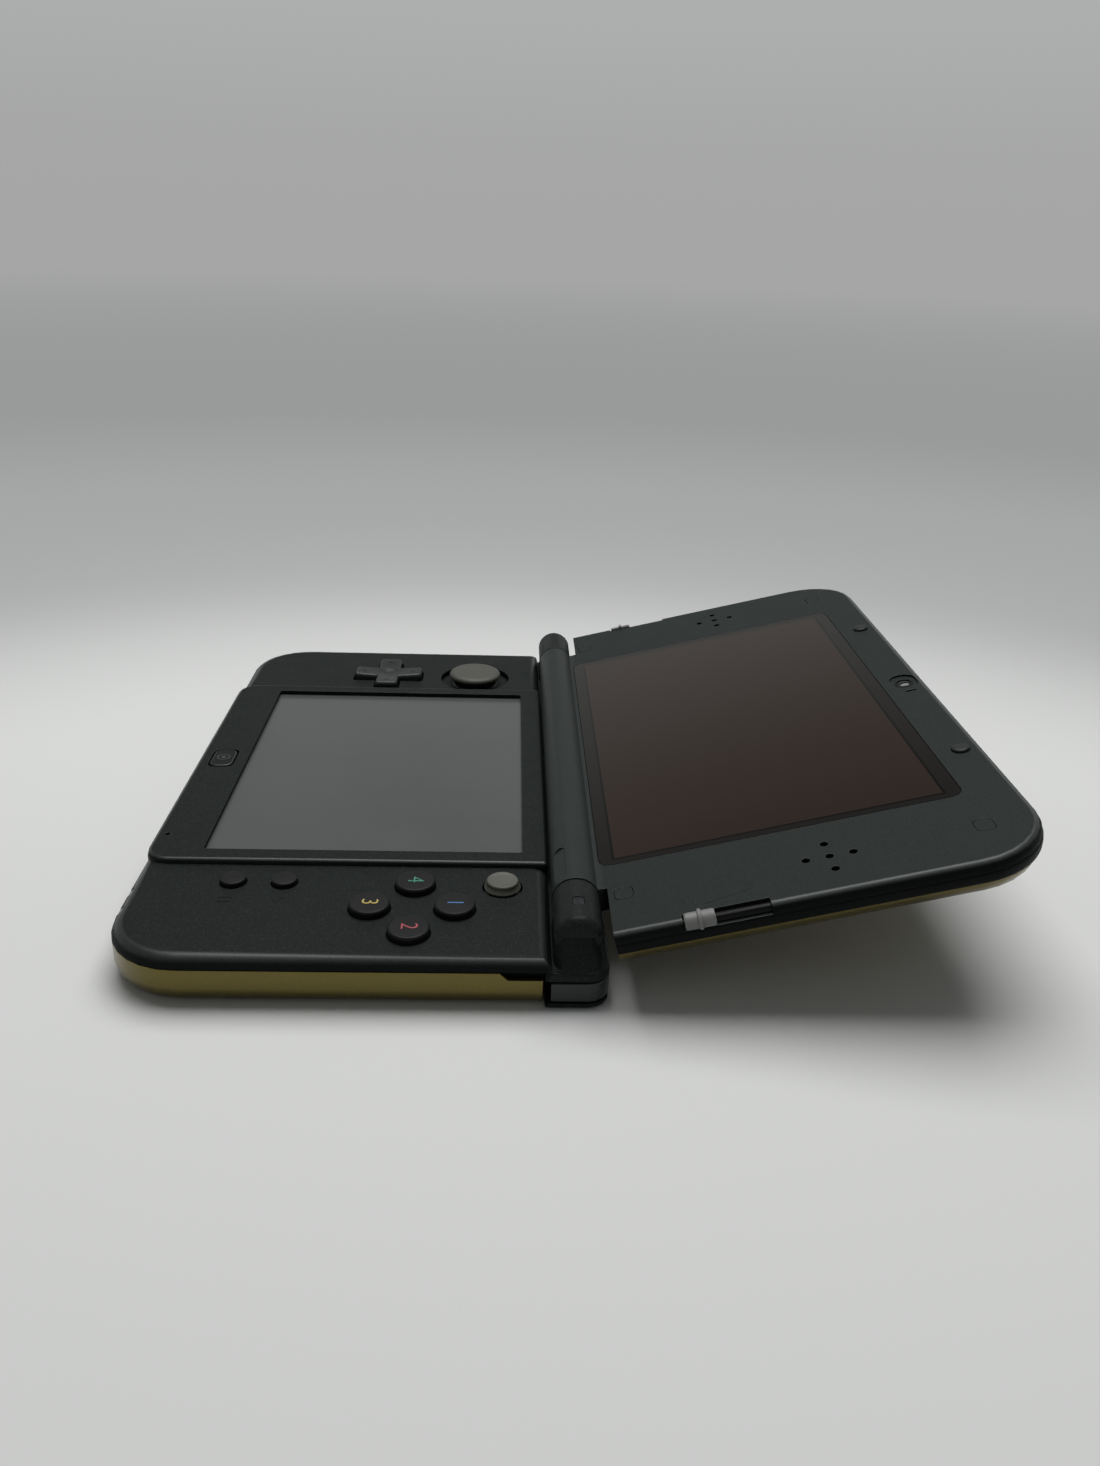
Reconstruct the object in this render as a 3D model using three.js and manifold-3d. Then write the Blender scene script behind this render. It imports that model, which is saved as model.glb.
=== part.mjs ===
import * as THREE from "three";
import { mergeVertices } from "three/addons/utils/BufferGeometryUtils.js";
import Module from "manifold-3d";

// A clamshell handheld game console that lies open on a table.
// Millimetres, +Z up, +X to the player's right, +Y from the player towards the hinge.
// The origin is the middle of the base's underside. The lid is drawn flat in its own group, where
// Y runs from the hinge axis to the free edge and Z is square to the screen.

// Whole console
const width = 160;
const depth = 93.5;
const cornerRadius = 15;
const lidThickness = 8.5;
const openAngle = 166;

// Clearances
const slipGap = 0.1;
const seatGap = 0.15;
const looseGap = 0.2;
const runningGap = 0.3;
const overrun = 1;
const leastRadius = 0.05;

// Base, outer form
const controlFaceHeight = 10.5;
const seamHeight = 8;
const housingWall = 1.3;
const housingPlate = 1.2;
const housingFillet = 2.4;
const housingFilletReach = 3;
const rearDeckDepth = 10.75;
const controlAreaWidth = 32.4;
const panelRise = 1.3;
const panelPlate = 1.05;
const panelFrontStep = 0.2;
const panelCornerRadius = 5;
const panelRearCornerRadius = 0.8;
const panelFillet = 1.1;

// Lower screen
const windowSideMargin = 4.4;
const windowFrontMargin = 11.65;
const windowRearMargin = 5.3;
const windowRecess = 1.15;
const windowCornerRadius = 0.6;
const touchPanelLap = 1.1;
const touchPanelThickness = 1;
const lowerModuleLap = 0.8;
const lowerModuleThickness = 2.05;

// Rear cover of the base
const coverWall = 1.1;
const coverEdgeRadius = 4;
const coverRearStep = 1.6;
const pryNotchLength = 7.9;
const pryNotchSlant = 1.5;
const pryNotchDepth = 1.5;
const screwFromSide = 6;
const screwFromRear = 4.4;
const screwHeadRadius = 2;
const screwHeadHeight = 0.5;
const screwShankRadius = 0.9;
const screwLength = 3;
const screwBossRadius = 2.4;

// Tray and rear block of the base
const trayWall = 1.1;
const trayFloor = 0.8;
const trayLift = 0.3;
const trayEdgeEase = 0.8;
const trayRimDrop = 0.7;
const blockCornerRadius = 4;
const blockTopRound = 0.6;
const blockUnderRound = 1;
const blockRoof = 0.95;
const blockRearWall = 1.55;
const boardPostRadius = 1.8;
const boardPostInset = 4;

// Main board and battery
const boardStandoff = 1.8;
const boardThickness = 1;
const boardFromSide = 10;
const boardFromFront = 14.75;
const boardFromRear = 3.8;
const boardCutMargin = 1;
const batteryLength = 36;
const batteryThickness = 4.9;
const batteryCornerRadius = 2;
const batteryFromCardSlot = 4.4;
const batteryFromStylus = 8;

// Game card slot, sockets and the rear window
const cardSlotFromSide = 16.3;
const cardSlotWidth = 34.4;
const cardSlotHeight = 4.2;
const cardSlotLength = 25;
const cardSlotWall = 0.9;
const cardSlotSkin = 0.4;
const headphoneFromMiddle = 8;
const headphoneBore = 3.6;
const headphoneNoseRadius = 2.7;
const headphoneBodyWidth = 6.4;
const headphoneBodyLength = 9.6;
const headphoneDepth = 8;
const chargingWidth = 9.2;
const chargingHeight = 3;
const chargingLength = 6;
const chargingWall = 0.5;
const chargingTongue = 0.5;
const infraredFromTrigger = 9.6;
const infraredWidth = 14;
const infraredHeight = 3.2;
const infraredMiddleHeight = 4;
const infraredLip = 0.8;

// Stylus
const stylusFromSide = 44;
const stylusRadius = 2.45;
const stylusLength = 74;
const stylusProud = 0.2;
const stylusCapLength = 6;
const stylusGroove = 0.35;
const stylusTipLength = 8;
const stylusTipRadius = 0.7;

// Power button
const powerFromSide = 24;
const powerWidth = 7;
const powerHeight = 2.8;
const powerProud = 0.25;
const powerFlangeLap = 0.9;
const powerFlangeThickness = 0.6;

// Status lights at the front edge
const lightSpacing = 6.6;
const lightFromSide = 16.6;
const lightWidth = 2;
const lightHeight = 1.1;
const lightBarHeight = 0.45;
const lightBarDepth = 1.1;
const lightDrop = 0.7;

// Press buttons in common
const flangeThickness = 0.8;
const buttonEdgeRound = 0.5;
const domeRadius = 2.4;
const domeTopRadius = 1.5;
const membraneThickness = 0.75;
const membraneMargin = 4;
const membraneNeckWidth = 8;

// Four face buttons
const faceButtonsFromSide = 17;
const faceButtonsFromRear = 26.6;
const faceButtonSpread = 8.2;
const faceButtonRadius = 4;
const faceButtonProud = 1.5;
const faceButtonTravel = 0.7;
const faceEarReach = 1.2;
const faceEarWidth = 4;

// Start and select buttons
const smallButtonsFromSide = 26.1;
const startFromFront = 30.15;
const selectFromFront = 20.05;
const smallButtonRadius = 2.55;
const smallButtonProud = 1.1;
const smallButtonTravel = 0.5;
const smallFlangeLap = 0.7;

// Home button
const homeFromFront = 5.95;
const homeWidth = 9.4;
const homeDepth = 5.8;
const homeCornerRadius = 1.6;
const homeProud = 0.2;
const homeFlangeLap = 0.7;
const homeFlangeThickness = 1;

// Circle pad
const circlePadFromSide = 21.5;
const circlePadFromRear = 18.4;
const circlePadTravel = 2;
const circleOpeningRadius = 9.8;
const circleCapRadius = 7.25;
const circleCapThickness = 2.05;
const circleCapRise = 2.2;
const circleDish = 0.45;
const circleDishRim = 1.2;
const circleNeckRadius = 6;
const circleStemWidth = 5;
const carriageWidth = 14;
const carriageDepth = 18;
const carriageThickness = 1.1;
const padHousingHalfWidth = 11.6;
const padHousingThickness = 1.45;
const railWidth = 1.2;
const railHeight = 1.3;

// Direction pad
const dpadFromSide = 21;
const dpadFromFront = 39.55;
const dpadSpan = 18.8;
const dpadArmWidth = 6.2;
const dpadArmRound = 0.9;
const dpadProud = 1.85;
const dpadEdgeRound = 0.5;
const dpadGap = 0.5;
const dpadFlangeLap = 0.8;
const dpadFlangeThickness = 0.7;
const dpadFlangeDrop = 1.1;
const dpadHubRadius = 3;
const dpadHubDrop = 0.2;
const dpadDishRadius = 9;
const dpadDishDepth = 0.5;
const dpadPivotRadius = 2;
const dpadPivotHeight = 1.5;

// Thumb stick
const stickFromSide = 25.2;
const stickFromRear = 9.3;
const stickHoleRadius = 4.1;
const stickTopRadius = 3.15;
const stickBaseRadius = 3.6;
const stickRise = 1.8;
const stickNeckRadius = 2.4;
const stickFlangeRadius = 4.8;
const stickFlangeDrop = 0.6;
const stickPostRadius = 2.2;
const stickPostHeight = 1.6;
const stickTopRound = 0.7;

// Microphone hole
const microphoneFromMiddle = 37.3;
const microphoneFromFront = 2.75;
const microphoneRadius = 0.5;

// Shoulder buttons and triggers
const shoulderFloor = 1.6;
const shoulderHeight = 4.2;
const shoulderRearLength = 23;
const shoulderSideLength = 10.85;
const shoulderRearDepth = 4.55;
const shoulderSideDepth = 3.4;
const shoulderEdgeRound = 0.45;
const pivotFromEnd = 1.4;
const pivotFromRear = 2.35;
const pivotPinRadius = 0.55;
const pivotPinReach = 0.9;
const pivotHoleRadius = 0.85;
const shoulderPocketMargin = 1.6;
const shoulderEndGap = 0.6;
const triggerFromShoulder = 2.4;
const triggerWidth = 11;
const triggerDepth = 4.15;
const triggerHeight = 3.7;
const triggerTravel = 0.9;
const triggerRound = 0.8;
const triggerPocketMargin = 0.5;
const pocketWall = 1.3;

// Hinge
const hingeFromRear = 6;
const hingeHeight = 13.9;
const barrelRadius = 4.5;
const barrelSideGap = 16;
const barrelCoreRadius = 3.4;
const barrelPlugLength = 14;
const knuckleEndFromSide = 1.6;
const knuckleDome = 1.8;
const cheekTopFromSide = 3.6;
const cheekTopRise = 0.8;
const cheekFootFromSide = 0.2;
const cheekFootDrop = 0.4;
const cheekCornerRadius = 3.4;
const cheekTopEase = 0.7;
const cartridgeRadius = 3.2;
const cartridgeLength = 10.5;
const shaftRadius = 2;
const shaftLength = 19;
const shaftInKnuckle = 7;
const pinBoreRadius = 1.4;
const hingeLightFromSide = 8.5;
const hingeLightWidth = 2.2;
const hingeLightReach = 1;
const hingeLightDepth = 0.6;

// Lid, outer form
const faceAboveAxis = 0.9;
const lidEdgeFromAxis = 6.3;
const bezelDepth = 2.4;
const bezelPlate = 1.2;
const bezelFillet = 1.7;
const lidCoverRadius = 5.8;
const lidCoverWall = 1.1;
const webLength = 5.9;
const webDepth = 4;
const dentFromMiddle = 56.8;
const dentLength = 11.6;
const dentWidth = 3;
const dentDepth = 0.35;
const dentAngle = 30;

// Upper screen
const glassFromSide = 24.1;
const glassFromAxis = 5.4;
const glassFromEdge = 10;
const glassThickness = 0.7;
const glassCornerRadius = 2.5;
const openingSideLap = 1.5;
const openingHingeLap = 2.2;
const openingEdgeLap = 2.5;
const upperModuleThickness = 3;
const upperModuleMargin = 0.6;
const upperModuleHingeStep = 2.6;

// Upper speakers
const speakerFromSide = 11.9;
const speakerAlong = 48.1;
const speakerHolePitch = 4.44;
const speakerHoleRadius = 0.8;
const speakerWidth = 15;
const speakerLength = 16;
const speakerThickness = 3;

// Cameras
const innerCameraFromEdge = 4.66;
const cameraRecessWidth = 8.5;
const cameraRecessLength = 6;
const cameraRecessDepth = 0.5;
const cameraHoleRadius = 1.8;
const slitFromMiddle = 5.5;
const slitLength = 2.6;
const slitWidth = 0.7;
const cameraModuleWidth = 48;
const cameraModuleLength = 8.4;
const cameraModuleThickness = 3;
const cameraModuleFromEdge = 2;
const outerCameraFromMiddle = 17.5;
const outerCameraFromEdge = 8.9;
const outerLensRadius = 2.8;
const outerLensRecess = 0.7;

// Bumpers and screw plugs on the lid
const bumperFromMiddle = 38;
const bumperFromEdge = 4.5;
const bumperRadius = 1.8;
const bumperRise = 0.6;
const bumperSeat = 0.6;
const plugWidth = 3.8;
const plugLength = 3.5;
const plugCornerRadius = 1;
const plugDepth = 0.6;
const outerPlugFromSide = 12.2;
const outerPlugFromEdge = 10.6;
const hingePlugFromSide = 13.2;
const hingePlugFromAxis = 9.3;

// Sliders in the lid's side edges
const sliderKnobLength = 5.6;
const sliderTravel = 9.8;
const depthSliderAlong = 22;
const volumeSliderAlong = 20.9;
const sliderSlotDepth = 0.8;
const sliderSlotTop = 0.7;
const sliderSlotBottom = 0.35;
const sliderKnobProud = 0.5;
const sliderKnobSkin = 0.15;
const sliderRibLength = 0.7;
const sliderRibProud = 0.4;

// Fineness of curved surfaces
const cornerFineness = 1.8;
const edgeSteps = 3;
const wideEdgeSteps = 4;
const holeSides = 18;
const barrelSides = 28;
const hiddenSides = 12;

// Planes and places that follow from the sizes above
const right = width / 2;
const rear = depth / 2;
const front = -rear;
const housingRear = rear - rearDeckDepth;
const panelHalfWidth = right - controlAreaWidth;
const panelTop = controlFaceHeight + panelRise;
const plateUnderside = controlFaceHeight - housingPlate;
const panelUnderside = panelTop - panelPlate;
const flangeTop = plateUnderside - runningGap;
const flangeUnderside = flangeTop - flangeThickness;
const coverTop = seamHeight - seatGap;
const coverRear = housingRear - coverRearStep;
const blockFront = coverRear + runningGap + slipGap;
const blockTop = coverTop;
const trayInset = Math.max(coverWall, housingWall) + looseGap;
const trayBottom = coverWall + trayLift;
const trayFloorTop = trayBottom + trayFloor;
const trayInside = trayInset + trayWall;
const trayEdgeRadius = coverEdgeRadius - coverWall - trayEdgeEase;
const trayFrontInside = front + trayInside;
const trayRearInside = housingRear - trayInside;
const boardBottom = trayFloorTop + boardStandoff;
const boardTop = boardBottom + boardThickness;
const boardSeat = boardTop + seatGap;
const membraneTop = boardSeat + membraneThickness;
const hingeY = rear - hingeFromRear;
const barrelEnd = right - barrelSideGap;
const knuckleStart = barrelEnd + runningGap;
const knuckleEnd = right - knuckleEndFromSide;
const lidEdge = hingeY - front;
const faceLevel = faceAboveAxis;
const bezelUnderside = faceLevel - bezelDepth;
const plateLevel = faceLevel - bezelPlate;
const lidOuterLevel = faceLevel - lidThickness;
const lidCoverTop = bezelUnderside - seatGap;
const moduleLevel = plateLevel - seatGap;
const lidTilt = 180 - openAngle;
const glassSide = right - glassFromSide;
const glassEnd = lidEdge - glassFromEdge;
const cardSlotLeft = -right + cardSlotFromSide;
const cardSlotRight = cardSlotLeft + cardSlotWidth;
const cardSlotFloor = trayFloorTop + slipGap + cardSlotSkin;
const stylusX = right - stylusFromSide;
const stylusZ = trayFloorTop + seatGap + stylusRadius;
const powerX = right - powerFromSide;
const powerZ = boardTop;

const wasm = await Module();
wasm.setup();

// Closed solids from closed surfaces
function manifoldOf(positions, corners) {
  return new wasm.Manifold(
    new wasm.Mesh({
      numProp: 3,
      vertProperties: new Float32Array(positions),
      triVerts: new Uint32Array(corners),
    }),
  );
}

function solid(geometry) {
  const bare = new THREE.BufferGeometry();
  bare.setAttribute("position", geometry.getAttribute("position"));
  bare.setIndex(geometry.getIndex());
  const merged = mergeVertices(bare);
  const positions = merged.getAttribute("position").array;
  const index = merged.getIndex().array;
  const corners = [];
  for (let i = 0; i < index.length; i += 3) {
    const [a, b, c] = index.slice(i, i + 3);
    if (a !== b && b !== c && c !== a) corners.push(a, b, c);
  }
  const made = manifoldOf(positions, corners);
  return made.volume() < 0 ? manifoldOf(positions, corners.reverse()) : made;
}

function geometryOf(shape) {
  const mesh = shape.getMesh();
  const geometry = new THREE.BufferGeometry();
  geometry.setAttribute("position", new THREE.BufferAttribute(mesh.vertProperties, 3));
  geometry.setIndex(new THREE.BufferAttribute(mesh.triVerts, 1));
  geometry.computeVertexNormals();
  return geometry;
}

function joined(...shapes) {
  return shapes.flat().reduce((whole, shape) => whole.add(shape));
}

function cut(shape, ...tools) {
  return tools.flat().reduce((rest, tool) => rest.subtract(tool), shape);
}

// A pair of bounds from a middle and a full size
function around(middle, size) {
  return [middle - size / 2, middle + size / 2];
}

function box({ x, y, z }) {
  const geometry = new THREE.BoxGeometry(x[1] - x[0], y[1] - y[0], z[1] - z[0]);
  geometry.translate((x[0] + x[1]) / 2, (y[0] + y[1]) / 2, (z[0] + z[1]) / 2);
  return solid(geometry);
}

// Turns a geometry whose axis is Y so that the axis lies along X, Y or Z, then moves it
function aimed(geometry, along, [x, y, z]) {
  if (along === "x") geometry.rotateZ(-Math.PI / 2);
  if (along === "z") geometry.rotateX(Math.PI / 2);
  geometry.translate(x, y, z);
  return solid(geometry);
}

function onAxis(along, distance, [a, b]) {
  if (along === "x") return [distance, a, b];
  if (along === "y") return [a, distance, b];
  return [a, b, distance];
}

// A round bar along one axis, at the two other coordinates
function rod({ along = "z", at, span, radius, sides = holeSides }) {
  const geometry = new THREE.CylinderGeometry(radius, radius, span[1] - span[0], sides);
  return aimed(geometry, along, onAxis(along, (span[0] + span[1]) / 2, at));
}

// A solid of revolution from a profile of radius and distance along the axis
function turned({ along = "z", at, profile, sides = holeSides }) {
  const points = profile.map(([radius, distance]) => new THREE.Vector2(radius, distance));
  return aimed(new THREE.LatheGeometry(points, sides), along, onAxis(along, 0, at));
}

// A quarter round between the side of a profile and its end, as radius and distance
function roundedEnd({ radius, end, round, outward = 1 }) {
  return Array.from({ length: edgeSteps + 1 }, (_, step) => {
    const angle = (Math.PI / 2) * (step / edgeSteps);
    return [
      radius - round * (1 - Math.cos(angle)),
      end - outward * round * (1 - Math.sin(angle)),
    ];
  });
}

// How many facets a quarter round gets: more on a larger radius
function cornerSteps(radius) {
  return Math.max(2, Math.round(cornerFineness * Math.sqrt(radius)));
}

// A rectangle with its own radius at each corner: front left, front right, back right, back left
function roundedOutline({ x, y, radii, inset = 0 }) {
  const corners = [
    [x[0] + inset, y[0] + inset, 1, 1],
    [x[1] - inset, y[0] + inset, -1, 1],
    [x[1] - inset, y[1] - inset, -1, -1],
    [x[0] + inset, y[1] - inset, 1, -1],
  ];
  return corners.flatMap(([cornerX, cornerY, towardX, towardY], corner) => {
    if (radii[corner] === 0) return [new THREE.Vector2(cornerX, cornerY)];
    const radius = Math.max(radii[corner] - inset, leastRadius);
    const start = Math.PI * (1 + corner / 2);
    const steps = cornerSteps(radii[corner]);
    return Array.from({ length: steps + 1 }, (_, step) => {
      const angle = start + (Math.PI / 2) * (step / steps);
      return new THREE.Vector2(
        cornerX + towardX * radius + radius * Math.cos(angle),
        cornerY + towardY * radius + radius * Math.sin(angle),
      );
    });
  });
}

// A solid through convex outlines, lowest first, with as many points in each
function loft(levels) {
  const count = levels[0].outline.length;
  const positions = levels.flatMap(({ outline, z }) => outline.flatMap((p) => [p.x, p.y, z]));
  const corners = [];
  for (let level = 0; level + 1 < levels.length; level += 1) {
    for (let i = 0; i < count; i += 1) {
      const a = level * count + i;
      const b = level * count + ((i + 1) % count);
      corners.push(a, b, b + count, a, b + count, a + count);
    }
  }
  const top = (levels.length - 1) * count;
  for (let i = 1; i + 1 < count; i += 1) {
    corners.push(0, i + 1, i, top, top + i, top + i + 1);
  }
  const geometry = new THREE.BufferGeometry();
  geometry.setAttribute("position", new THREE.Float32BufferAttribute(positions, 3));
  geometry.setIndex(corners);
  return solid(geometry);
}

// A flat block with rounded corners, and rounded edges above and below
function slab({ x, y, z, radii, inset = 0, underRound = 0, topRound = 0, ...rest }) {
  const { topReach = topRound, steps = edgeSteps } = rest;
  const quarter = Array.from({ length: steps + 1 }, (_, step) => (Math.PI / 2) * (step / steps));
  const under = quarter.map((angle) => ({
    drawn: underRound * (1 - Math.sin(angle)),
    z: z[0] + underRound * (1 - Math.cos(angle)),
  }));
  const over = quarter.map((angle) => ({
    drawn: topReach * (1 - Math.cos(angle)),
    z: z[1] - topRound * (1 - Math.sin(angle)),
  }));
  const levels = [
    ...(underRound > 0 ? under : [{ drawn: 0, z: z[0] }]),
    ...(topRound > 0 ? over : [{ drawn: 0, z: z[1] }]),
  ];
  return loft(
    levels.map((level) => ({
      outline: roundedOutline({ x, y, radii, inset: inset + level.drawn }),
      z: level.z,
    })),
  );
}

function prism({ outline, z }) {
  const geometry = new THREE.ExtrudeGeometry(new THREE.Shape(outline), {
    depth: z[1] - z[0],
    bevelEnabled: false,
  });
  geometry.translate(0, 0, z[0]);
  return solid(geometry);
}

function alike(radius) {
  return [radius, radius, radius, radius];
}

function frontCorners(radius) {
  return [radius, radius, 0, 0];
}

function backCorners(radius) {
  return [0, 0, radius, radius];
}

// Both sides of the console, as -1 for the left and 1 for the right
const sides = [-1, 1];
const sideNames = { "-1": "left", 1: "right" };

function ordered(a, b) {
  return a < b ? [a, b] : [b, a];
}

// Finishes
const plastic = (color, roughness) => {
  return new THREE.MeshStandardMaterial({ color, roughness, metalness: 0 });
};
const metal = (color, roughness) => {
  return new THREE.MeshStandardMaterial({ color, roughness, metalness: 1 });
};
const charcoal = () => plastic("#2b2f30", 0.55);
const gold = () => plastic("#6a5f3c", 0.4);
const slate = () => plastic("#202528", 0.35);
const softGrey = () => plastic("#6e6e66", 0.6);
const black = () => plastic("#141516", 0.3);
const steel = () => metal("#8c8f92", 0.35);

// Makes the named mesh of one piece, at its place in its group
function piece(name, shape, material, place = [0, 0, 0]) {
  const mesh = new THREE.Mesh(geometryOf(shape), material);
  mesh.name = name;
  mesh.position.set(...place);
  return mesh;
}

// Places of the controls on the base
const faceButtonsX = right - faceButtonsFromSide;
const faceButtonsY = housingRear - faceButtonsFromRear;
const faceButtonPlaces = [
  { name: "button_north", x: faceButtonsX, y: faceButtonsY + faceButtonSpread },
  { name: "button_east", x: faceButtonsX + faceButtonSpread, y: faceButtonsY },
  { name: "button_south", x: faceButtonsX, y: faceButtonsY - faceButtonSpread },
  { name: "button_west", x: faceButtonsX - faceButtonSpread, y: faceButtonsY },
];
const smallButtonsX = right - smallButtonsFromSide;
const smallButtonPlaces = [
  { name: "start_button", x: smallButtonsX, y: front + startFromFront },
  { name: "select_button", x: smallButtonsX, y: front + selectFromFront },
];
const homeY = front + homeFromFront;
const circlePad = { x: -right + circlePadFromSide, y: housingRear - circlePadFromRear };
const dpadPlace = { x: -right + dpadFromSide, y: front + dpadFromFront };
const stick = { x: right - stickFromSide, y: housingRear - stickFromRear };
const lightPlaces = [right - lightFromSide, right - lightFromSide - lightSpacing];
const screwPlaces = sides.map((side) => [
  side * (right - screwFromSide),
  coverRear - screwFromRear,
]);

// Outline of a cross with rounded arm ends
function crossOutline(span, armWidth, round) {
  const reach = span / 2;
  const half = armWidth / 2;
  const arcSteps = 3;
  const points = [];
  for (let arm = 0; arm < 4; arm += 1) {
    const turn = (Math.PI / 2) * arm;
    const local = [[half, -half]];
    [[1, -1], [1, 1]].forEach(([, sign], end) => {
      const start = end === 0 ? -Math.PI / 2 : 0;
      for (let step = 0; step <= arcSteps; step += 1) {
        const angle = start + (Math.PI / 2) * (step / arcSteps);
        local.push([
          reach - round + round * Math.cos(angle),
          sign * (half - round) + round * Math.sin(angle),
        ]);
      }
    });
    local.forEach(([x, y]) => {
      points.push(
        new THREE.Vector2(
          x * Math.cos(turn) - y * Math.sin(turn),
          x * Math.sin(turn) + y * Math.cos(turn),
        ),
      );
    });
  }
  return points;
}

const panelRadii = [
  panelCornerRadius,
  panelCornerRadius,
  panelRearCornerRadius,
  panelRearCornerRadius,
];

// Outer form of the upper shell of the base, with its raised screen panel
function housingForm(inset) {
  const body = slab({
    x: [-right, right],
    y: [front, housingRear],
    z: [seamHeight, controlFaceHeight],
    radii: frontCorners(cornerRadius),
    inset,
    topRound: housingFillet,
    topReach: housingFilletReach,
  });
  const panel = slab({
    x: [-panelHalfWidth, panelHalfWidth],
    y: [front + panelFrontStep, housingRear],
    z: [plateUnderside, panelTop],
    radii: panelRadii,
    inset,
    topRound: panelFillet,
  });
  return joined(body, panel);
}

function housingHollow() {
  const body = slab({
    x: [-right, right],
    y: [front, housingRear],
    z: [seamHeight - overrun, plateUnderside],
    radii: frontCorners(cornerRadius),
    inset: housingWall,
  });
  const underPanel = slab({
    x: [-panelHalfWidth, panelHalfWidth],
    y: [front + panelFrontStep, housingRear],
    z: [seamHeight - overrun, panelUnderside],
    radii: panelRadii,
    inset: housingWall,
  });
  return [body, underPanel];
}

// Bounds of the lower screen's window, and of what lies under its frame
function windowBounds(lap) {
  const half = panelHalfWidth - windowSideMargin + lap;
  return {
    x: [-half, half],
    y: [front + windowFrontMargin - lap, housingRear - windowRearMargin + lap],
  };
}

function baseTopHousing() {
  const throughFace = [seamHeight, panelTop + overrun];
  const hole = (place, radius, sides = holeSides) => {
    return rod({ at: [place.x, place.y], span: throughFace, radius, sides });
  };
  const screenWindow = slab({
    ...windowBounds(0),
    z: throughFace,
    radii: alike(windowCornerRadius),
  });
  const homeHole = slab({
    x: around(0, homeWidth + looseGap),
    y: around(homeY, homeDepth + looseGap),
    z: throughFace,
    radii: alike(homeCornerRadius),
  });
  const dpadHole = prism({
    outline: crossOutline(dpadSpan + dpadGap * 2, dpadArmWidth + dpadGap * 2, dpadArmRound),
    z: throughFace,
  }).translate([dpadPlace.x, dpadPlace.y, 0]);
  const lights = lightPlaces.map((x) => lightWindow(x, looseGap));
  return cut(
    housingForm(0),
    housingHollow(),
    screenWindow,
    homeHole,
    dpadHole,
    faceButtonPlaces.map((place) => hole(place, faceButtonRadius + looseGap)),
    smallButtonPlaces.map((place) => hole(place, smallButtonRadius + looseGap)),
    hole(circlePad, circleOpeningRadius, barrelSides),
    hole(stick, stickHoleRadius),
    hole({ x: microphoneFromMiddle, y: front + microphoneFromFront }, microphoneRadius),
    lights,
  );
}

// Opening of one status light through the front fillet, or its light guide with no gap
function lightWindow(x, gap) {
  const top = controlFaceHeight - lightDrop;
  return box({
    x: around(x, lightWidth + gap),
    y: [front - overrun, front + housingWall + looseGap],
    z: [top - lightHeight - gap / 2, top + gap / 2],
  });
}

function statusLightGuide() {
  const barTop = plateUnderside - slipGap;
  const bar = box({
    x: [lightPlaces[1] - lightWidth / 2, lightPlaces[0] + lightWidth / 2],
    y: around(front + housingWall + seatGap + lightBarDepth / 2, lightBarDepth),
    z: [barTop - lightBarHeight, barTop],
  });
  const windows = lightPlaces.map((x) => lightWindow(x, 0).intersect(housingForm(slipGap)));
  return joined(bar, windows);
}

// What the front walls let through: game card, headphone plug, stylus and power button
function frontOpenings() {
  const throughWalls = [front - overrun, trayFrontInside + overrun];
  const card = box({
    x: [cardSlotLeft, cardSlotRight],
    y: throughWalls,
    z: [cardSlotFloor, cardSlotFloor + cardSlotHeight],
  });
  const headphone = rod({
    along: "y",
    at: [-headphoneFromMiddle, stylusZ],
    span: throughWalls,
    radius: headphoneNoseRadius + looseGap,
  });
  const stylus = rod({
    along: "y",
    at: [stylusX, stylusZ],
    span: throughWalls,
    radius: stylusRadius + looseGap,
  });
  const power = box({
    x: around(powerX, powerWidth + runningGap * 2),
    y: throughWalls,
    z: around(powerZ, powerHeight + runningGap * 2),
  });
  return [card, headphone, stylus, power];
}

function coverForm(inset) {
  const long = slab({
    x: [-right, right],
    y: [front, coverRear + cornerRadius],
    z: [inset, coverTop + overrun],
    radii: frontCorners(cornerRadius),
    inset,
    underRound: coverEdgeRadius - inset,
    steps: wideEdgeSteps,
  });
  return long;
}

function rearCover() {
  const above = box({
    x: [-width, width],
    y: [-depth, depth],
    z: [coverTop, coverTop + overrun * 2],
  });
  const behind = box({
    x: [-width, width],
    y: [coverRear, depth],
    z: [-overrun, coverTop + overrun * 2],
  });
  const notchTop = coverTop + overrun;
  const notchEnd = coverRear + overrun;
  const notchFront = coverRear - pryNotchLength;
  const notches = sides.map((side) => {
    const outline = [
      new THREE.Vector2(notchFront, notchTop),
      new THREE.Vector2(notchFront, coverTop),
      new THREE.Vector2(notchFront + pryNotchSlant, coverTop - pryNotchDepth),
      new THREE.Vector2(notchEnd, coverTop - pryNotchDepth),
      new THREE.Vector2(notchEnd, notchTop),
    ];
    const start = side > 0 ? right - coverWall - overrun : -right - overrun;
    return prism({ outline, z: [start, start + coverWall + overrun * 2] }).transform(
      new THREE.Matrix4().makeBasis(
        new THREE.Vector3(0, 1, 0),
        new THREE.Vector3(0, 0, 1),
        new THREE.Vector3(1, 0, 0),
      ).elements,
    );
  });
  const screws = screwPlaces.map((at) => {
    const head = rod({
      at,
      span: [-overrun, seatGap + screwHeadHeight + slipGap],
      radius: screwHeadRadius + seatGap,
    });
    const shank = rod({ at, span: [-overrun, trayBottom], radius: screwShankRadius + looseGap });
    return joined(head, shank);
  });
  const cardNotch = box({
    x: [cardSlotLeft, cardSlotRight],
    y: [front - overrun, front + coverWall + overrun],
    z: [cardSlotFloor, coverTop + overrun],
  });
  return cut(
    coverForm(0),
    coverForm(coverWall),
    above,
    behind,
    notches,
    screws,
    cardNotch,
    frontOpenings(),
  );
}

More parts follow.
